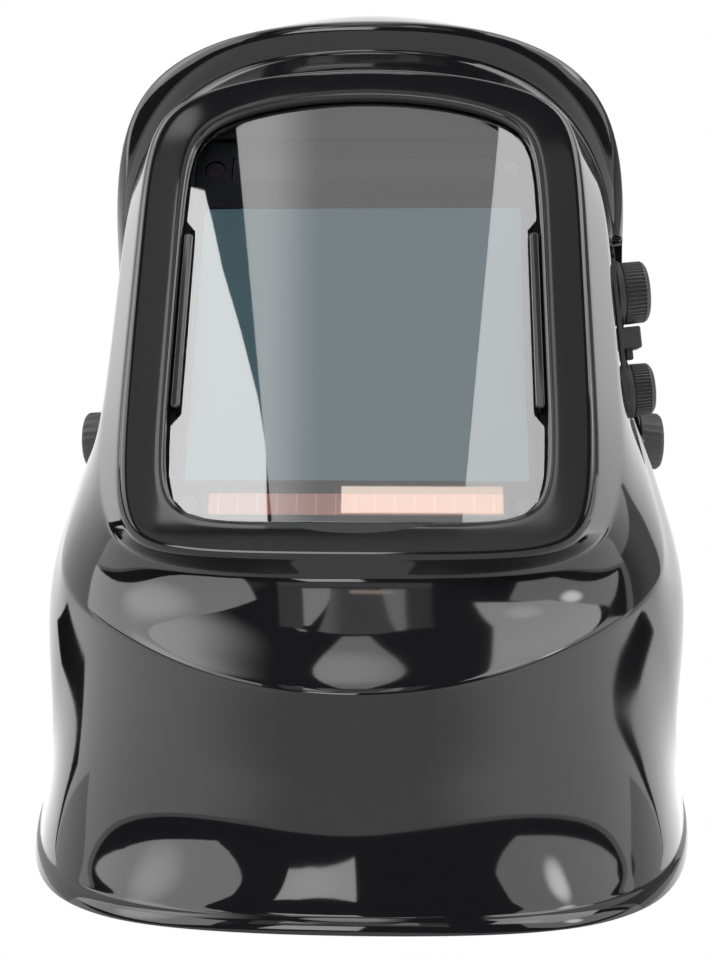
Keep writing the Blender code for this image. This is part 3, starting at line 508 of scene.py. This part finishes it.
def subdivide(obj, levels):
    skin = obj.modifiers.new("skin", "SUBSURF")
    skin.levels = levels
    skin.render_levels = levels
    apply_all(obj)


shell = skinned("shell_moulding", whole(shell_rings()), closes=True)
subdivide(shell, SHELL_LEVELS)
for vertex in shell.data.vertices:
    vertex.co.z = max(vertex.co.z, 0.0)
print("skin faces", len(shell.data.polygons))

# %% [markdown]
# The pivots stand on round bosses. Bent into the skin they would go soft, so they are made as
# closed discs and joined with a Boolean, which leaves a sharp step against the curve. Each boss is
# faced off on both sides later, when all that may reach over it has been joined.

# %% Pivot bosses
PIVOT = Vector((0, 48.0, 136.0)) + SHIFT
BOSS_R, BOSS_IN, BOSS_OUT, BOSS_OVER = 15.0, 97.0, 105.0, 9.0
BOSS_POINTS = 96


def combine(obj, other, operation):
    """Joins another closed piece to this one, or cuts it away, and uses it up."""
    mod = obj.modifiers.new(operation, "BOOLEAN")
    mod.operation = operation
    mod.solver = "EXACT"
    mod.object = other
    apply_all(obj)
    bpy.data.objects.remove(other)


def disc(sign, x0, x1):
    """Round block on the pivot line, on the right or the left."""
    angles = [2 * math.pi * i / BOSS_POINTS for i in range(BOSS_POINTS)]
    rim = [Vector((0, BOSS_R * math.cos(a), BOSS_R * math.sin(a))) for a in angles]
    return skinned("disc", [[PIVOT + Vector((sign * x, 0, 0)) + p for p in rim] for x in (x0, x1)])


for sign in (1, -1):
    combine(shell, disc(sign, BOSS_IN, BOSS_OUT), "UNION")
print("faces with bosses", len(shell.data.polygons))

# %% [markdown]
# The controls sit on a flat pad that is sunk in the right wall, with a collar that joins it to the
# wall all round. Round-cornered slabs square to the panel are joined and cut away in turn. The
# collar is first trimmed by a copy of the skin that lies a little under the surface, so that it
# never shows outside.

# %% Control recess
PANEL_AT, PANEL_LEAN = Vector((90.5, -1.0, 171.5)), math.radians(-6)
PANEL = Matrix.Translation(PANEL_AT + SHIFT) @ Matrix.Rotation(PANEL_LEAN, 4, "Y")
PAD_Y, PAD_Z, PAD_T, PAD_CORNER = 13.0, 38.0, 4.0, 9.0
COLLAR_T, COLLAR_UNDER, RECESS = 2.4, 1.0, 12.0
BACK_Y, BACK_Z, BACK_CORNER = PAD_Y - 1, PAD_Z - 2, 6.0
SLAB_STEPS, UNDER_LEVELS = 8, 2


def rounded(x0, x1, z0, z1, r, steps=6):
    """Rectangle outline with round corners."""
    points = []
    corners = ((x1 - r, z1 - r, 0), (x0 + r, z1 - r, 90), (x0 + r, z0 + r, 180), (x1 - r, z0 + r, 270))
    for cx, cz, start in corners:
        for i in range(steps + 1):
            a = math.radians(start + 90 * i / steps)
            points.append((cx + r * math.cos(a), cz + r * math.sin(a)))
    return points


def slab(half_y, half_z, corner, x0, x1):
    """Round-cornered block square to the control panel."""
    line = rounded(-half_y, half_y, -half_z, half_z, corner, SLAB_STEPS)
    return skinned("slab", [[PANEL @ Vector((x, y, z)) for y, z in line] for x in (x0, x1)])


under_skin = skinned("under_skin", whole(moved_in(outer_rings(), COLLAR_UNDER)))
subdivide(under_skin, UNDER_LEVELS)
collar = slab(PAD_Y + COLLAR_T, PAD_Z + COLLAR_T, PAD_CORNER + COLLAR_T, -PAD_T, RECESS)
combine(collar, under_skin, "INTERSECT")
combine(shell, collar, "UNION")
combine(shell, slab(PAD_Y, PAD_Z, PAD_CORNER, 0.0, RECESS), "DIFFERENCE")
combine(shell, slab(BACK_Y, BACK_Z, BACK_CORNER, -PAD_T - RECESS, -PAD_T), "DIFFERENCE")
for sign in (1, -1):
    combine(shell, disc(sign, BOSS_OUT, BOSS_OUT + BOSS_OVER), "DIFFERENCE")
    combine(shell, disc(sign, BOSS_IN - BOSS_OVER, BOSS_IN), "DIFFERENCE")
print("faces with recess", len(shell.data.polygons))

# %% [markdown]
# Under the cover lens the bezel has a shallow scoop, where a finger lifts the lens out. It is a
# wedge with an arc for its lower edge: only a fine step deep along the arc and deepest at the
# lens. Its arc has an odd number of steps, so that no point falls on the skin's middle line,
# where a Boolean would be unsure. The shell then gets its finish, its body and its solid.

# %% Finger scoop
SCOOP_X, SCOOP_TOP, SCOOP_END, SCOOP_LOW = 23.5, -54.0, -59.2, -62.6
SCOOP_DEEP, SCOOP_STEP, SCOOP_FRONT, SCOOP_STEPS = 4.6, 0.05, -4.0, 25
SHELL_SMOOTH, EDGE_ANGLE = 32, 35


def soften(obj, angle=EDGE_ANGLE):
    """Shades a piece smooth, except over edges that turn more than an angle in degrees."""
    take(obj)
    bpy.ops.object.shade_smooth_by_angle(angle=math.radians(angle))


def join_in(obj, finish, body, slot, *stands_for):
    """Gives a finished piece its material and body, and hides the solids it stands for; the slot is not used.
    """
    obj.data.materials.clear()
    obj.data.materials.append(finish.material)
    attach(obj, body)
    if stands_for:
        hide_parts(*stands_for)


def scoop_depth(s):
    return SCOOP_STEP + SCOOP_DEEP * (s - SCOOP_LOW) / (SCOOP_TOP - SCOOP_LOW)


arc = [2.0 * i / SCOOP_STEPS - 1.0 for i in range(SCOOP_STEPS + 1)]
scoop = [(SCOOP_X, SCOOP_TOP), (-SCOOP_X, SCOOP_TOP)]
scoop += [(SCOOP_X * t, SCOOP_END + (SCOOP_LOW - SCOOP_END) * (1.0 - t * t)) for t in arc]
front = [on_window(x, s, SCOOP_FRONT) for x, s in scoop]
slope = [on_window(x, s, scoop_depth(s)) for x, s in scoop]
combine(shell, skinned("finger_scoop", [front, slope]), "DIFFERENCE")
soften(shell, SHELL_SMOOTH)
join_in(shell, gloss, body_of["helmet_shell"], slot_of["helmet_shell"], "helmet_shell")
print("shell faces", len(shell.data.polygons))

# %% [markdown]
# The smaller parts already have the right form in their solids, so they are dressed and not
# modelled again. A solid arrives as loose triangles: a copy is merged, its flat faces are joined,
# and a Bevel breaks the edges as a mould does, because a real edge always catches some light. A
# Weighted Normal modifier then keeps flat faces flat to the eye, so that the lens mirrors straight.

# %% Dressing a solid
JOIN = 0.000002


def merged_copy(node, name, flat=1.0):
    """Copy of a solid with its triangles merged, and faces within a flat angle joined."""
    obj = bpy.data.objects.new(name, nodes[node].data.copy())
    scene.collection.objects.link(obj)
    take(obj)
    bpy.ops.object.mode_set(mode="EDIT")
    bpy.ops.mesh.select_all(action="SELECT")
    bpy.ops.mesh.remove_doubles(threshold=JOIN)
    bpy.ops.mesh.dissolve_limited(angle_limit=math.radians(flat))
    bpy.ops.object.mode_set(mode="OBJECT")
    return obj


def break_edges(obj, width, angle=EDGE_ANGLE):
    """Rounds the edges that turn more than an angle, to a width in millimetres."""
    rim = obj.modifiers.new("edge", "BEVEL")
    rim.width = width * MM
    rim.segments = 2
    rim.limit_method = "ANGLE"
    rim.angle_limit = math.radians(angle)
    apply_all(obj)


def level_faces(obj):
    """Keeps flat faces flat to the eye, so that they mirror without bending."""
    even = obj.modifiers.new("level", "WEIGHTED_NORMAL")
    even.weight = 100
    even.keep_sharp = True
    apply_all(obj)


print("solids to dress", len(nodes))

# %% [markdown]
# Which finish a part has, and how round its edges are, is best seen in one table. A lens or a rail
# has a crisp edge, a moulded band a rounder one. A loop then dresses the solids in turn, and each
# dressed piece rides with the body that its solid belongs to.

# %% Dressed solids
# finish and edge radius in millimetres
PLAIN = {
    "front_cover_lens": (clear, 0.25), "inner_cover_lens": (clear, 0.2),
    "lens_rail_left": (gloss, 0.25), "lens_rail_right": (gloss, 0.25),
    "cartridge_holder": (case, 0.4), "filter_cartridge": (case, 0.3),
    "lcd_filter": (glass, 0.2), "solar_panel": (solar, 0.1), "sensor_strip": (sensor, 0.15),
    "arc_sensor_upper_right": (sensor, 0.4), "arc_sensor_upper_left": (sensor, 0.4),
    "arc_sensor_lower_right": (sensor, 0.4), "arc_sensor_lower_left": (sensor, 0.4),
    "battery_cell": (steel, 0.3), "battery_cap": (grain, 0.3), "cartridge_latch": (grain, 0.25),
    "control_plate": (gloss, 0.4), "control_box": (grain, 0.3), "mode_switch_base": (grain, 0.3),
    "mode_lever": (satin, 0.15),
    "friction_washer_left": (fibre, 0.2), "friction_washer_right": (fibre, 0.2),
    "headband": (band_black, 0.5),
    "side_arm_left": (band_black, 0.5), "side_arm_right": (band_black, 0.5),
    "strap_stud_front_left": (steel, 0.12), "strap_stud_front_right": (steel, 0.12),
    "strap_stud_rear_left": (steel, 0.12), "strap_stud_rear_right": (steel, 0.12),
    "pivot_bolt_left": (steel, 0.3), "pivot_bolt_right": (steel, 0.3),
    "tension_knob_left": (grain, 0.2), "tension_knob_right": (grain, 0.2),
    "ratchet_housing": (grain, 0.5), "ratchet_knob": (grain, 0.4), "ratchet_pinion": (satin, 0.1),
    "band_tail_left": (band_black, 0.2), "band_tail_right": (band_black, 0.2),
}

for node, (finish, edge) in PLAIN.items():
    piece = merged_copy(node, node + "_dressed")
    break_edges(piece, edge)
    soften(piece)
    level_faces(piece)
    join_in(piece, finish, body_of[node], slot_of[node], node)
print("dressed", len(PLAIN))

# %% [markdown]
# The crown straps are soft strips bent over the head. Their solids turn in flat steps, which a
# bevel would only make clearer. So the triangles are paired into quads along the strip, the edges
# are rounded, and a Subdivision Surface evens the bend while the rounded edges hold the section.

# %% Crown straps
STRAP_EDGE, STRAP_LEVELS = 0.4, 2
STRAP_EDGE_ANGLE, STRAP_SMOOTH = 50, 40
STRAP_FLAT = 0.01
PAIR_BEND, PAIR_SKEW = math.radians(30), math.radians(60)
for node in ("crown_strap_front", "crown_strap_rear"):
    strap = merged_copy(node, node + "_bent", flat=STRAP_FLAT)
    bpy.ops.object.mode_set(mode="EDIT")
    bpy.ops.mesh.select_all(action="SELECT")
    bpy.ops.mesh.tris_convert_to_quads(face_threshold=PAIR_BEND, shape_threshold=PAIR_SKEW)
    bpy.ops.object.mode_set(mode="OBJECT")
    break_edges(strap, STRAP_EDGE, STRAP_EDGE_ANGLE)
    subdivide(strap, STRAP_LEVELS)
    soften(strap, STRAP_SMOOTH)
    join_in(strap, band_black, body_of[node], slot_of[node], node)
    print(node, "faces", len(strap.data.polygons))

# %% [markdown]
# Thin black frames run round the filter glass and round the solar cells, where the case laps over
# them. They are too fine for a solid of their own, so they are only made here: four rings, outside
# and inside, front and back, closed on themselves.

# %% Window trim
CASE_D0 = 7.0
TRIM_FRONT, TRIM_BACK, TRIM_ROOM, TRIM_CORNER = -0.15, 0.4, 0.1, 0.6
# half width, foot, head and width of the frame
TRIM = {"glass_frame": (51.3, -43.0, 53.8, 1.0), "cell_frame": (43.5, -54.0, -47.0, 0.7)}
for name, (half, foot, head, wide) in TRIM.items():
    rings = []
    for grow, d in ((wide, TRIM_BACK), (wide, TRIM_FRONT), (TRIM_ROOM, TRIM_FRONT), (TRIM_ROOM, TRIM_BACK)):
        line = rounded(-half - grow, half + grow, foot - grow, head + grow, TRIM_CORNER + grow)
        rings.append([on_window(x, s, CASE_D0 + d) for x, s in line])
    trim = skinned(name, rings, closes=True)
    soften(trim)
    level_faces(trim)
    join_in(trim, sensor, body_of["filter_cartridge"], slot_of["filter_cartridge"])
print("window trim", list(TRIM))

# %% [markdown]
# The two control knobs are turned parts with a fine knurl. Spinning a profile would give plain
# rounds, so the rings are laid about the knob's axis point by point, and on the grip two of every
# four points are set in. The profile has a skirt, a groove, the knurled grip and a dished end.

# %% Knobs
KNOB_FOOT = 4.5
KNURL, KNURL_CUT, TOOTH_POINTS = 46, 0.5, 4
KNOB_SMOOTH = 28
# along the axis from the foot or the end, and out from the radius
GRIP_FOOT = ((-2.4, 0.6), (-2.2, 0.8), (-0.7, 0.8), (-0.4, 0.5), (-0.4, -0.7), (0.4, -0.7))
GRIP_LOW, GRIP_HIGH = (0.5, 0.0), (-2.0, -0.15)
GRIP_END = ((-1.9, -0.2), (-1.0, -0.7), (-0.2, -1.9), (0.0, -2.6), (0.0, -3.6), (-0.5, -4.0))
# height on the panel, radius and length
KNOBS = {"shade_knob": (16.9, 11.4, 9.4), "sensitivity_knob": (-18.8, 9.7, 8.0)}


def grip(x, radius, length):
    """Stations of x, radius and knurl depth."""
    end = x + length
    profile = [(x + run, radius + out, 0.0) for run, out in GRIP_FOOT]
    profile.append((x + GRIP_LOW[0], radius + GRIP_LOW[1], KNURL_CUT))
    profile.append((end + GRIP_HIGH[0], radius + GRIP_HIGH[1], KNURL_CUT))
    return profile + [(end + run, radius + out, 0.0) for run, out in GRIP_END]


def knurled(place, x, radius, cut):
    """One ring about the x axis of a place, with its teeth."""
    ring = []
    for i in range(TOOTH_POINTS * KNURL):
        a = 2 * math.pi * i / (TOOTH_POINTS * KNURL)
        r = radius - (cut if i % TOOTH_POINTS > 1 else 0.0)
        ring.append(place @ Vector((x, r * math.cos(a), r * math.sin(a))))
    return ring


for node, (up, radius, length) in KNOBS.items():
    at = PANEL @ Matrix.Translation((0, 0, up))
    knob = skinned(node + "_turned", [knurled(at, *station) for station in grip(KNOB_FOOT, radius, length)])
    soften(knob, KNOB_SMOOTH)
    join_in(knob, grain, body_of[node], slot_of[node], node)
print("knobs", list(KNOBS))

# %% [markdown]
# The brow pad and the nape pad are foam in a cloth cover. A plain solid would look like hard
# rubber, so each is made a little smaller, remeshed in even cells and blown up by a Cloth
# simulation with pressure inside and no gravity. No point may move past the cap, so the pad stays
# off the band that carries it. The simulation draws nothing at random, and its result is applied.

# %% Pads
PAD_SMALLER, PAD_VOXEL, PAD_CAP = 0.9, 2.5, 1.2
PAD_PRESSURE, PAD_FRAMES = 4.0, 20
PAD_SMOOTH = 80


def stuffed(node):
    pad = merged_copy(node, node + "_foam")
    smaller = pad.modifiers.new("smaller", "DISPLACE")
    smaller.strength = -PAD_SMALLER * MM
    smaller.mid_level = 0.0
    even = pad.modifiers.new("even", "REMESH")
    even.mode = "VOXEL"
    even.voxel_size = PAD_VOXEL * MM
    apply_all(pad)
    before = [vertex.co.copy() for vertex in pad.data.vertices]
    cover = pad.modifiers.new("cover", "CLOTH")
    cover.settings.use_pressure = True
    cover.settings.uniform_pressure_force = PAD_PRESSURE
    cover.settings.effector_weights.gravity = 0.0
    for step in range(1, PAD_FRAMES + 1):
        scene.frame_set(step)
    apply_all(pad)
    scene.frame_set(1)
    moved = 0.0
    for vertex, start in zip(pad.data.vertices, before):
        move = vertex.co - start
        moved = max(moved, move.length)
        if move.length > PAD_CAP * MM:
            vertex.co = start + move.normalized() * PAD_CAP * MM
    subdivide(pad, 1)
    soften(pad, PAD_SMOOTH)
    join_in(pad, cloth, body_of[node], slot_of[node], node)
    print(node, "swelled at most", round(moved / MM, 2), "mm before the cap")


for node in ("brow_pad", "nape_pad"):
    stuffed(node)

# %% [markdown]
# The helmet stands in a white room. A picture of a studio could surround it, but one plain colour
# needs no file. The world is white to the camera and to mirrored rays, but weaker for rays that
# only gather light, so that the black stays black. A Light Path node tells the two kinds of ray
# apart, in the world and on the floor alike.

# %% Room
AMBIENT = 0.45
WHITE, BLACK = (1.0, 1.0, 1.0), (0.0, 0.0, 0.0)
SHOWN_RAYS = ("Is Camera Ray", "Is Glossy Ray", "Is Transmission Ray")


def shown(wire):
    """1 for rays that show the background, 0 for rays that only gather light."""
    first, second, third = [wire.add("LightPath", out=name) for name in SHOWN_RAYS]
    return (first + second + third).clamp(0.0, 1.0)


world = bpy.data.worlds.new("room")
scene.world = world
world.use_nodes = True
background = world.node_tree.nodes["Background"]
background.inputs["Color"].default_value = (*WHITE, 1.0)
strength = shown(Wire(world.node_tree)) * (1.0 - AMBIENT) + AMBIENT
world.node_tree.links.new(strength.socket, background.inputs["Strength"])
print("room set")

# %% [markdown]
# A polished black moulding is lit by what it mirrors, so most of the stage is made of things that
# only mirrored rays meet. Painted gradients would need pictures, so their brightness is a sum of
# soft round spots, each placed by its turn right of the front and its rise above the floor. The
# sum goes to the colour of an Emission and not to its strength, which is kept at one.

# %% Soft spots of light


def toward(turn, rise):
    """Unit vector at an angle right of the front and an angle above the floor, in degrees."""
    a, e = math.radians(turn), math.radians(rise)
    return Vector((math.sin(a) * math.cos(e), -math.cos(a) * math.cos(e), math.sin(e)))


def glows(finish, spots):
    """Sum of soft round spots, each given by turn, rise, inner and outer angle and brightness."""
    heading = finish.wire.add("VectorMath", {"operation": "NORMALIZE"}, {0: finish.place})
    total = None
    for turn, rise, inner, outer, bright in spots:
        ends = {0: heading, 1: toward(turn, rise)}
        near = finish.wire.add("VectorMath", {"operation": "DOT_PRODUCT"}, ends, out="Value")
        spot = near.band(math.cos(math.radians(outer)), math.cos(math.radians(inner))) * bright
        total = spot if total is None else total + spot
    return total


def lit_face(finish, brightness):
    """Emission of a varying grey."""
    colours = {MIX_SHARE: 1.0, MIX_FIRST: (*BLACK, 1.0), MIX_SECOND: brightness}
    grey = finish.wire.add("Mix", {"data_type": "RGBA"}, colours, out=MIX_COLOUR)
    return finish.wire.add("Emission", None, {"Color": grey, "Strength": 1.0})


print("straight ahead is", list(toward(0, 0)))

# %% [markdown]
# The floor is plain and pale, and matt to rays that only gather light. To the camera it is white,
# with no shadow on it. Mirrored in the polish it is brighter on both sides, which gives the chin
# its soft grey ends. A Light Path node adds those two spots for mirrored rays alone.

# %% Floor
FLOOR_SIZE = 6.0
# turn, rise, inner and outer angle in degrees, brightness
FLOOR_GLOWS = ((-75, 0, 20, 58, 0.9), (75, 0, 20, 58, 0.9))
clear_selection()
bpy.ops.mesh.primitive_plane_add(size=FLOOR_SIZE, location=(0, 0, 0))
floor = bpy.context.object
floor.name = "floor"
pale = Finish("pale_floor", (0.9, 0.9, 0.9), 0.8)
mirrored = pale.wire.add("LightPath", out="Is Glossy Ray")
lit = lit_face(pale, glows(pale, FLOOR_GLOWS) * mirrored + 1.0)
matt = Wire(pale.tree, pale.shader.outputs["BSDF"])
pale.surface(pale.wire.add("MixShader", None, {0: shown(pale.wire), 1: matt, 2: lit}))
floor.data.materials.append(pale.material)
print("floor", FLOOR_SIZE, "m")

# %% [markdown]
# In front of and above the helmet hangs a dark hood. Where the shell mirrors it, the shell looks
# black, and where it mirrors the room below the hood's edge, it looks grey. That edge gives the
# clear line across the flare. A box would show its corners in the polish, so the hood is part of
# a large sphere. A wide soft glow on its left lights the scoop over the chin.

# %% Dark hood
HOOD_R, HOOD_SEGMENTS, HOOD_RINGS = 2.4, 72, 48
HOOD_LOW, HOOD_TURN = math.radians(17), math.radians(104)
HOOD_GLOWS = ((-84, 52, 8, 27, 5.0), (-30, 40, 2, 5, 0.3))


def mirror_only(obj, power, spots=(), colour=WHITE):
    """Makes a stage piece that only mirrored rays can see, lit evenly or with spots."""
    card = Finish(obj.name, BLACK, 1.0)
    if spots:
        card.surface(lit_face(card, glows(card, spots) + power))
    else:
        card.surface(card.wire.add("Emission", None, {"Color": (*colour, 1.0), "Strength": power}))
    obj.data.materials.append(card.material)
    obj.visible_camera = False
    obj.visible_diffuse = False
    obj.visible_transmission = False
    obj.visible_shadow = False
    return card


clear_selection()
bpy.ops.mesh.primitive_uv_sphere_add(segments=HOOD_SEGMENTS, ring_count=HOOD_RINGS, radius=HOOD_R,
                                     location=(0, 0, 0))
hood = bpy.context.object
hood.name = "dark_hood"
bpy.ops.object.mode_set(mode="EDIT")
bpy.ops.mesh.select_all(action="DESELECT")
bpy.ops.object.mode_set(mode="OBJECT")
for vertex in hood.data.vertices:
    rise = math.asin(max(-1.0, min(1.0, vertex.co.z / HOOD_R)))
    turn = math.atan2(vertex.co.x, -vertex.co.y)
    vertex.select = rise < HOOD_LOW or abs(turn) > HOOD_TURN
bpy.ops.object.mode_set(mode="EDIT")
bpy.ops.mesh.delete(type="VERT")
bpy.ops.object.mode_set(mode="OBJECT")
mirror_only(hood, 0.0, HOOD_GLOWS)
print("hood faces", len(hood.data.polygons))

# %% [markdown]
# Flat cards stand before the hood, as a studio would hang them: three that the flare mirrors, one
# on the right and one overhead for the scoop, and a dim one for the block's side. Each is a single
# face with its corners at a turn and a rise, because only its outline shows in the polish.

# %% Cards
CARD_R = 2.3
# corners, even brightness and one spot
CARDS = {
    "card_flare_left": (
        ((-104, 17), (-84, 25), (-67, 27), (-42, 26), (-28, 30), (-30, 48), (-70, 55), (-104, 45)),
        3.4, (-66, 41, 2, 16, 2.6)),
    "card_flare_mid": (
        ((-17, 25.5), (-12, 24.3), (-6, 23.5), (-1, 22.6), (0, 38), (-14, 38)),
        5.5, (-9, 30, 2, 8, 1.0)),
    "card_flare_right": (
        ((51, 26), (38, 34), (40, 46), (56, 42), (66, 44), (90, 36), (97, 20), (73, 25)),
        2.4, (66, 37, 0.5, 6, 8.0)),
    "card_scoop_right": (
        ((30, 49), (45, 63), (74, 76), (112, 66), (102, 45), (80, 37), (56, 41)),
        4.6, (50, 52, 1, 6, 1.5)),
    "card_scoop_top": (
        ((-10, 68), (1, 68), (6, 74), (28, 81), (-60, 81), (-19, 74)),
        2.6, (-23, 82, 1, 8, 1.5)),
    "card_side": (
        ((104, 14), (136, 6), (136, 30), (104, 40)),
        0.25, (120, 16, 2, 12, 0.1)),
}


def flat_card(name, corners):
    """One face with the given corners, in metres."""
    clear_selection()
    bpy.ops.mesh.primitive_circle_add(vertices=len(corners), radius=1.0, fill_type="NGON", location=(0, 0, 0))
    card = bpy.context.object
    card.name = name
    for vertex, corner in zip(card.data.vertices, corners):
        vertex.co = corner
    return card


for name, (corners, power, spot) in CARDS.items():
    mirror_only(flat_card(name, [toward(*corner) * CARD_R for corner in corners]), power, (spot,))
print("cards", len(CARDS))

# %% [markdown]
# The cheeks of the shell lean outward and mirror the floor beside the helmet, where they would
# shine white. Two dark mats lie there, a hair above the floor and seen by mirrored rays alone, so
# that the cheeks stay black and the floor stays clean.

# %% Mats
MAT_LIFT = 0.0005
# corners on the floor in metres
MATS = {"mat_left": ((-0.40, 0.06), (-0.40, 0.30), (-0.52, 0.65), (-0.75, 0.65), (-0.54, 0.14)),
        "mat_right": ((0.48, -0.04), (0.48, 0.12), (0.62, 0.42), (0.90, 0.42), (0.58, 0.04))}
for name, corners in MATS.items():
    mirror_only(flat_card(name, [(x, y, MAT_LIFT) for x, y in corners]), 0.0)
print("mats", len(MATS))

# %% [markdown]
# Two curved walls complete the ring: a bright one far behind, which the steep sides of the window
# block mirror, and a low one in front, which carries the floor's brightness up to the hood. A flat
# card can't reach so far round, so each is a grid of one row, bent about the helmet.

# %% Walls
WALL_STEPS = 24
BACK_TURNS, BACK_RISES, BACK_POWER = (138, 222), (-2, 32), 1.05
FRONT_TURNS, FRONT_RISES, FRONT_POWER = (-104, 104), (-1, 17), 1.0


def curved_wall(name, turns, rises):
    """A wall round the helmet from one turn and rise to another, in degrees."""
    clear_selection()
    bpy.ops.mesh.primitive_grid_add(x_subdivisions=WALL_STEPS, y_subdivisions=1, size=1.0, location=(0, 0, 0))
    wall = bpy.context.object
    wall.name = name
    for index, vertex in enumerate(wall.data.vertices):
        row, column = divmod(index, WALL_STEPS + 1)
        turn = turns[0] + (turns[1] - turns[0]) * column / WALL_STEPS
        vertex.co = toward(turn, rises[row]) * CARD_R
    return wall


mirror_only(curved_wall("bright_wall", BACK_TURNS, BACK_RISES), BACK_POWER)
mirror_only(curved_wall("low_wall", FRONT_TURNS, FRONT_RISES), FRONT_POWER, FLOOR_GLOWS)
print("walls set")

# %% [markdown]
# The cover lens is flat, so what it mirrors can be worked out backwards. Each panel's outline is
# drawn on the lens, in millimetres across and up, and its corners are sent out along the mirrored
# sight lines of the camera. The panel that is made there fills just that outline. The centre panel
# fades from left to right, and the one for the solar cells is warm and hangs nearer than the rest.

# %% Lens panels
LENS_D0 = 3.3
PANEL_REACH, CELLS_REACH = 1200.0, 1150.0
CELLS_LIGHT = (1.0, 0.84, 0.74)
CENTRE_POWER, CENTRE_MORE, CENTRE_FADE = 0.78, 0.9, (-0.160, -0.085)
out_of_window = (WINDOW.to_3x3() @ Vector((0, -1, 0))).normalized()
# outline on the lens, brightness
PANELS = {
    "panel_left": (((-57, -59), (-25.2, -59), (-26, -47.7), (-26.7, -34.8), (-29.8, -18.1),
                    (-36.5, 6.2), (-43.3, 28), (-47.4, 45), (-51, 58), (-57, 60)), 3.6),
    "panel_right": (((30.9, -59), (57, -59), (57, 62), (54, 79), (44.8, 83)), 2.6),
    "panel_bezel": (((-85, -62), (-57.5, -62), (-57.5, 74), (-85, 74)), 0.6),
    "panel_low": (((-85, -63), (-85, -95), (85, -95), (85, -63)), 0.75),
    "panel_side": (((58, -62), (85, -62), (85, 74), (58, 74)), 0.45),
    "panel_corner": (((-68, 76), (-56, 79), (-54, 90), (-62, 91)), 3.0),
}
CENTRE = ((-23.8, -59), (30.7, -59), (44.5, 81), (30, 92), (0, 95), (-30, 92), (-42, 83))
CELLS, CELLS_POWER = ((-4, -55), (43, -55), (43, -46.5), (-4, -46.5)), 4.5


def seen_in_lens(outline, reach=PANEL_REACH):
    """Corners, in metres, whose mirror image lies on the given outline."""
    corners = []
    for x, s in outline:
        at = on_window(x, s, LENS_D0)
        sight = (at - CAMERA_AT).normalized()
        corners.append((at + sight.reflect(out_of_window) * reach) * MM)
    return corners


for name, (outline, power) in PANELS.items():
    mirror_only(flat_card(name, seen_in_lens(outline)), power)
mirror_only(flat_card("panel_cells", seen_in_lens(CELLS, CELLS_REACH)), CELLS_POWER, colour=CELLS_LIGHT)
centre = mirror_only(flat_card("panel_centre", seen_in_lens(CENTRE)), CENTRE_POWER)
along = centre.wire.add("SeparateXYZ", None, {"Vector": centre.place}, out="X")
centre.surface(lit_face(centre, (1.0 - along.band(*CENTRE_FADE)) * CENTRE_MORE + CENTRE_POWER))
print("panels", len(PANELS) + 2)

# %% [markdown]
# The matt parts, such as the knobs and the headgear, still need plain light of their own. Point
# lamps would throw hard shadows, so two large area lamps stand high on the left and the right.
# They are kept out of mirrored rays, so that no hard rectangle shows on the polish.

# %% Lamps
LAMP_AIM = Vector((0, 0, 0.15))
LAMP_SIZE, LAMP_POWER = (0.8, 1.2), 14.0
LAMPS = {"lamp_left": Vector((-1.1, -0.9, 1.5)), "lamp_right": Vector((1.1, -0.9, 1.5))}
for name, at in LAMPS.items():
    bpy.ops.object.light_add(type="AREA", location=at)
    lamp = bpy.context.object
    lamp.name = name
    lamp.data.shape = "RECTANGLE"
    lamp.data.size, lamp.data.size_y = LAMP_SIZE
    lamp.data.energy = LAMP_POWER
    lamp.rotation_euler = (LAMP_AIM - at).to_track_quat("-Z", "Y").to_euler()
    lamp.visible_glossy = False
print("lamps", list(LAMPS))

# %% [markdown]
# Last, the view layer is updated once more.

# %% Update the view layer
bpy.context.view_layer.update()
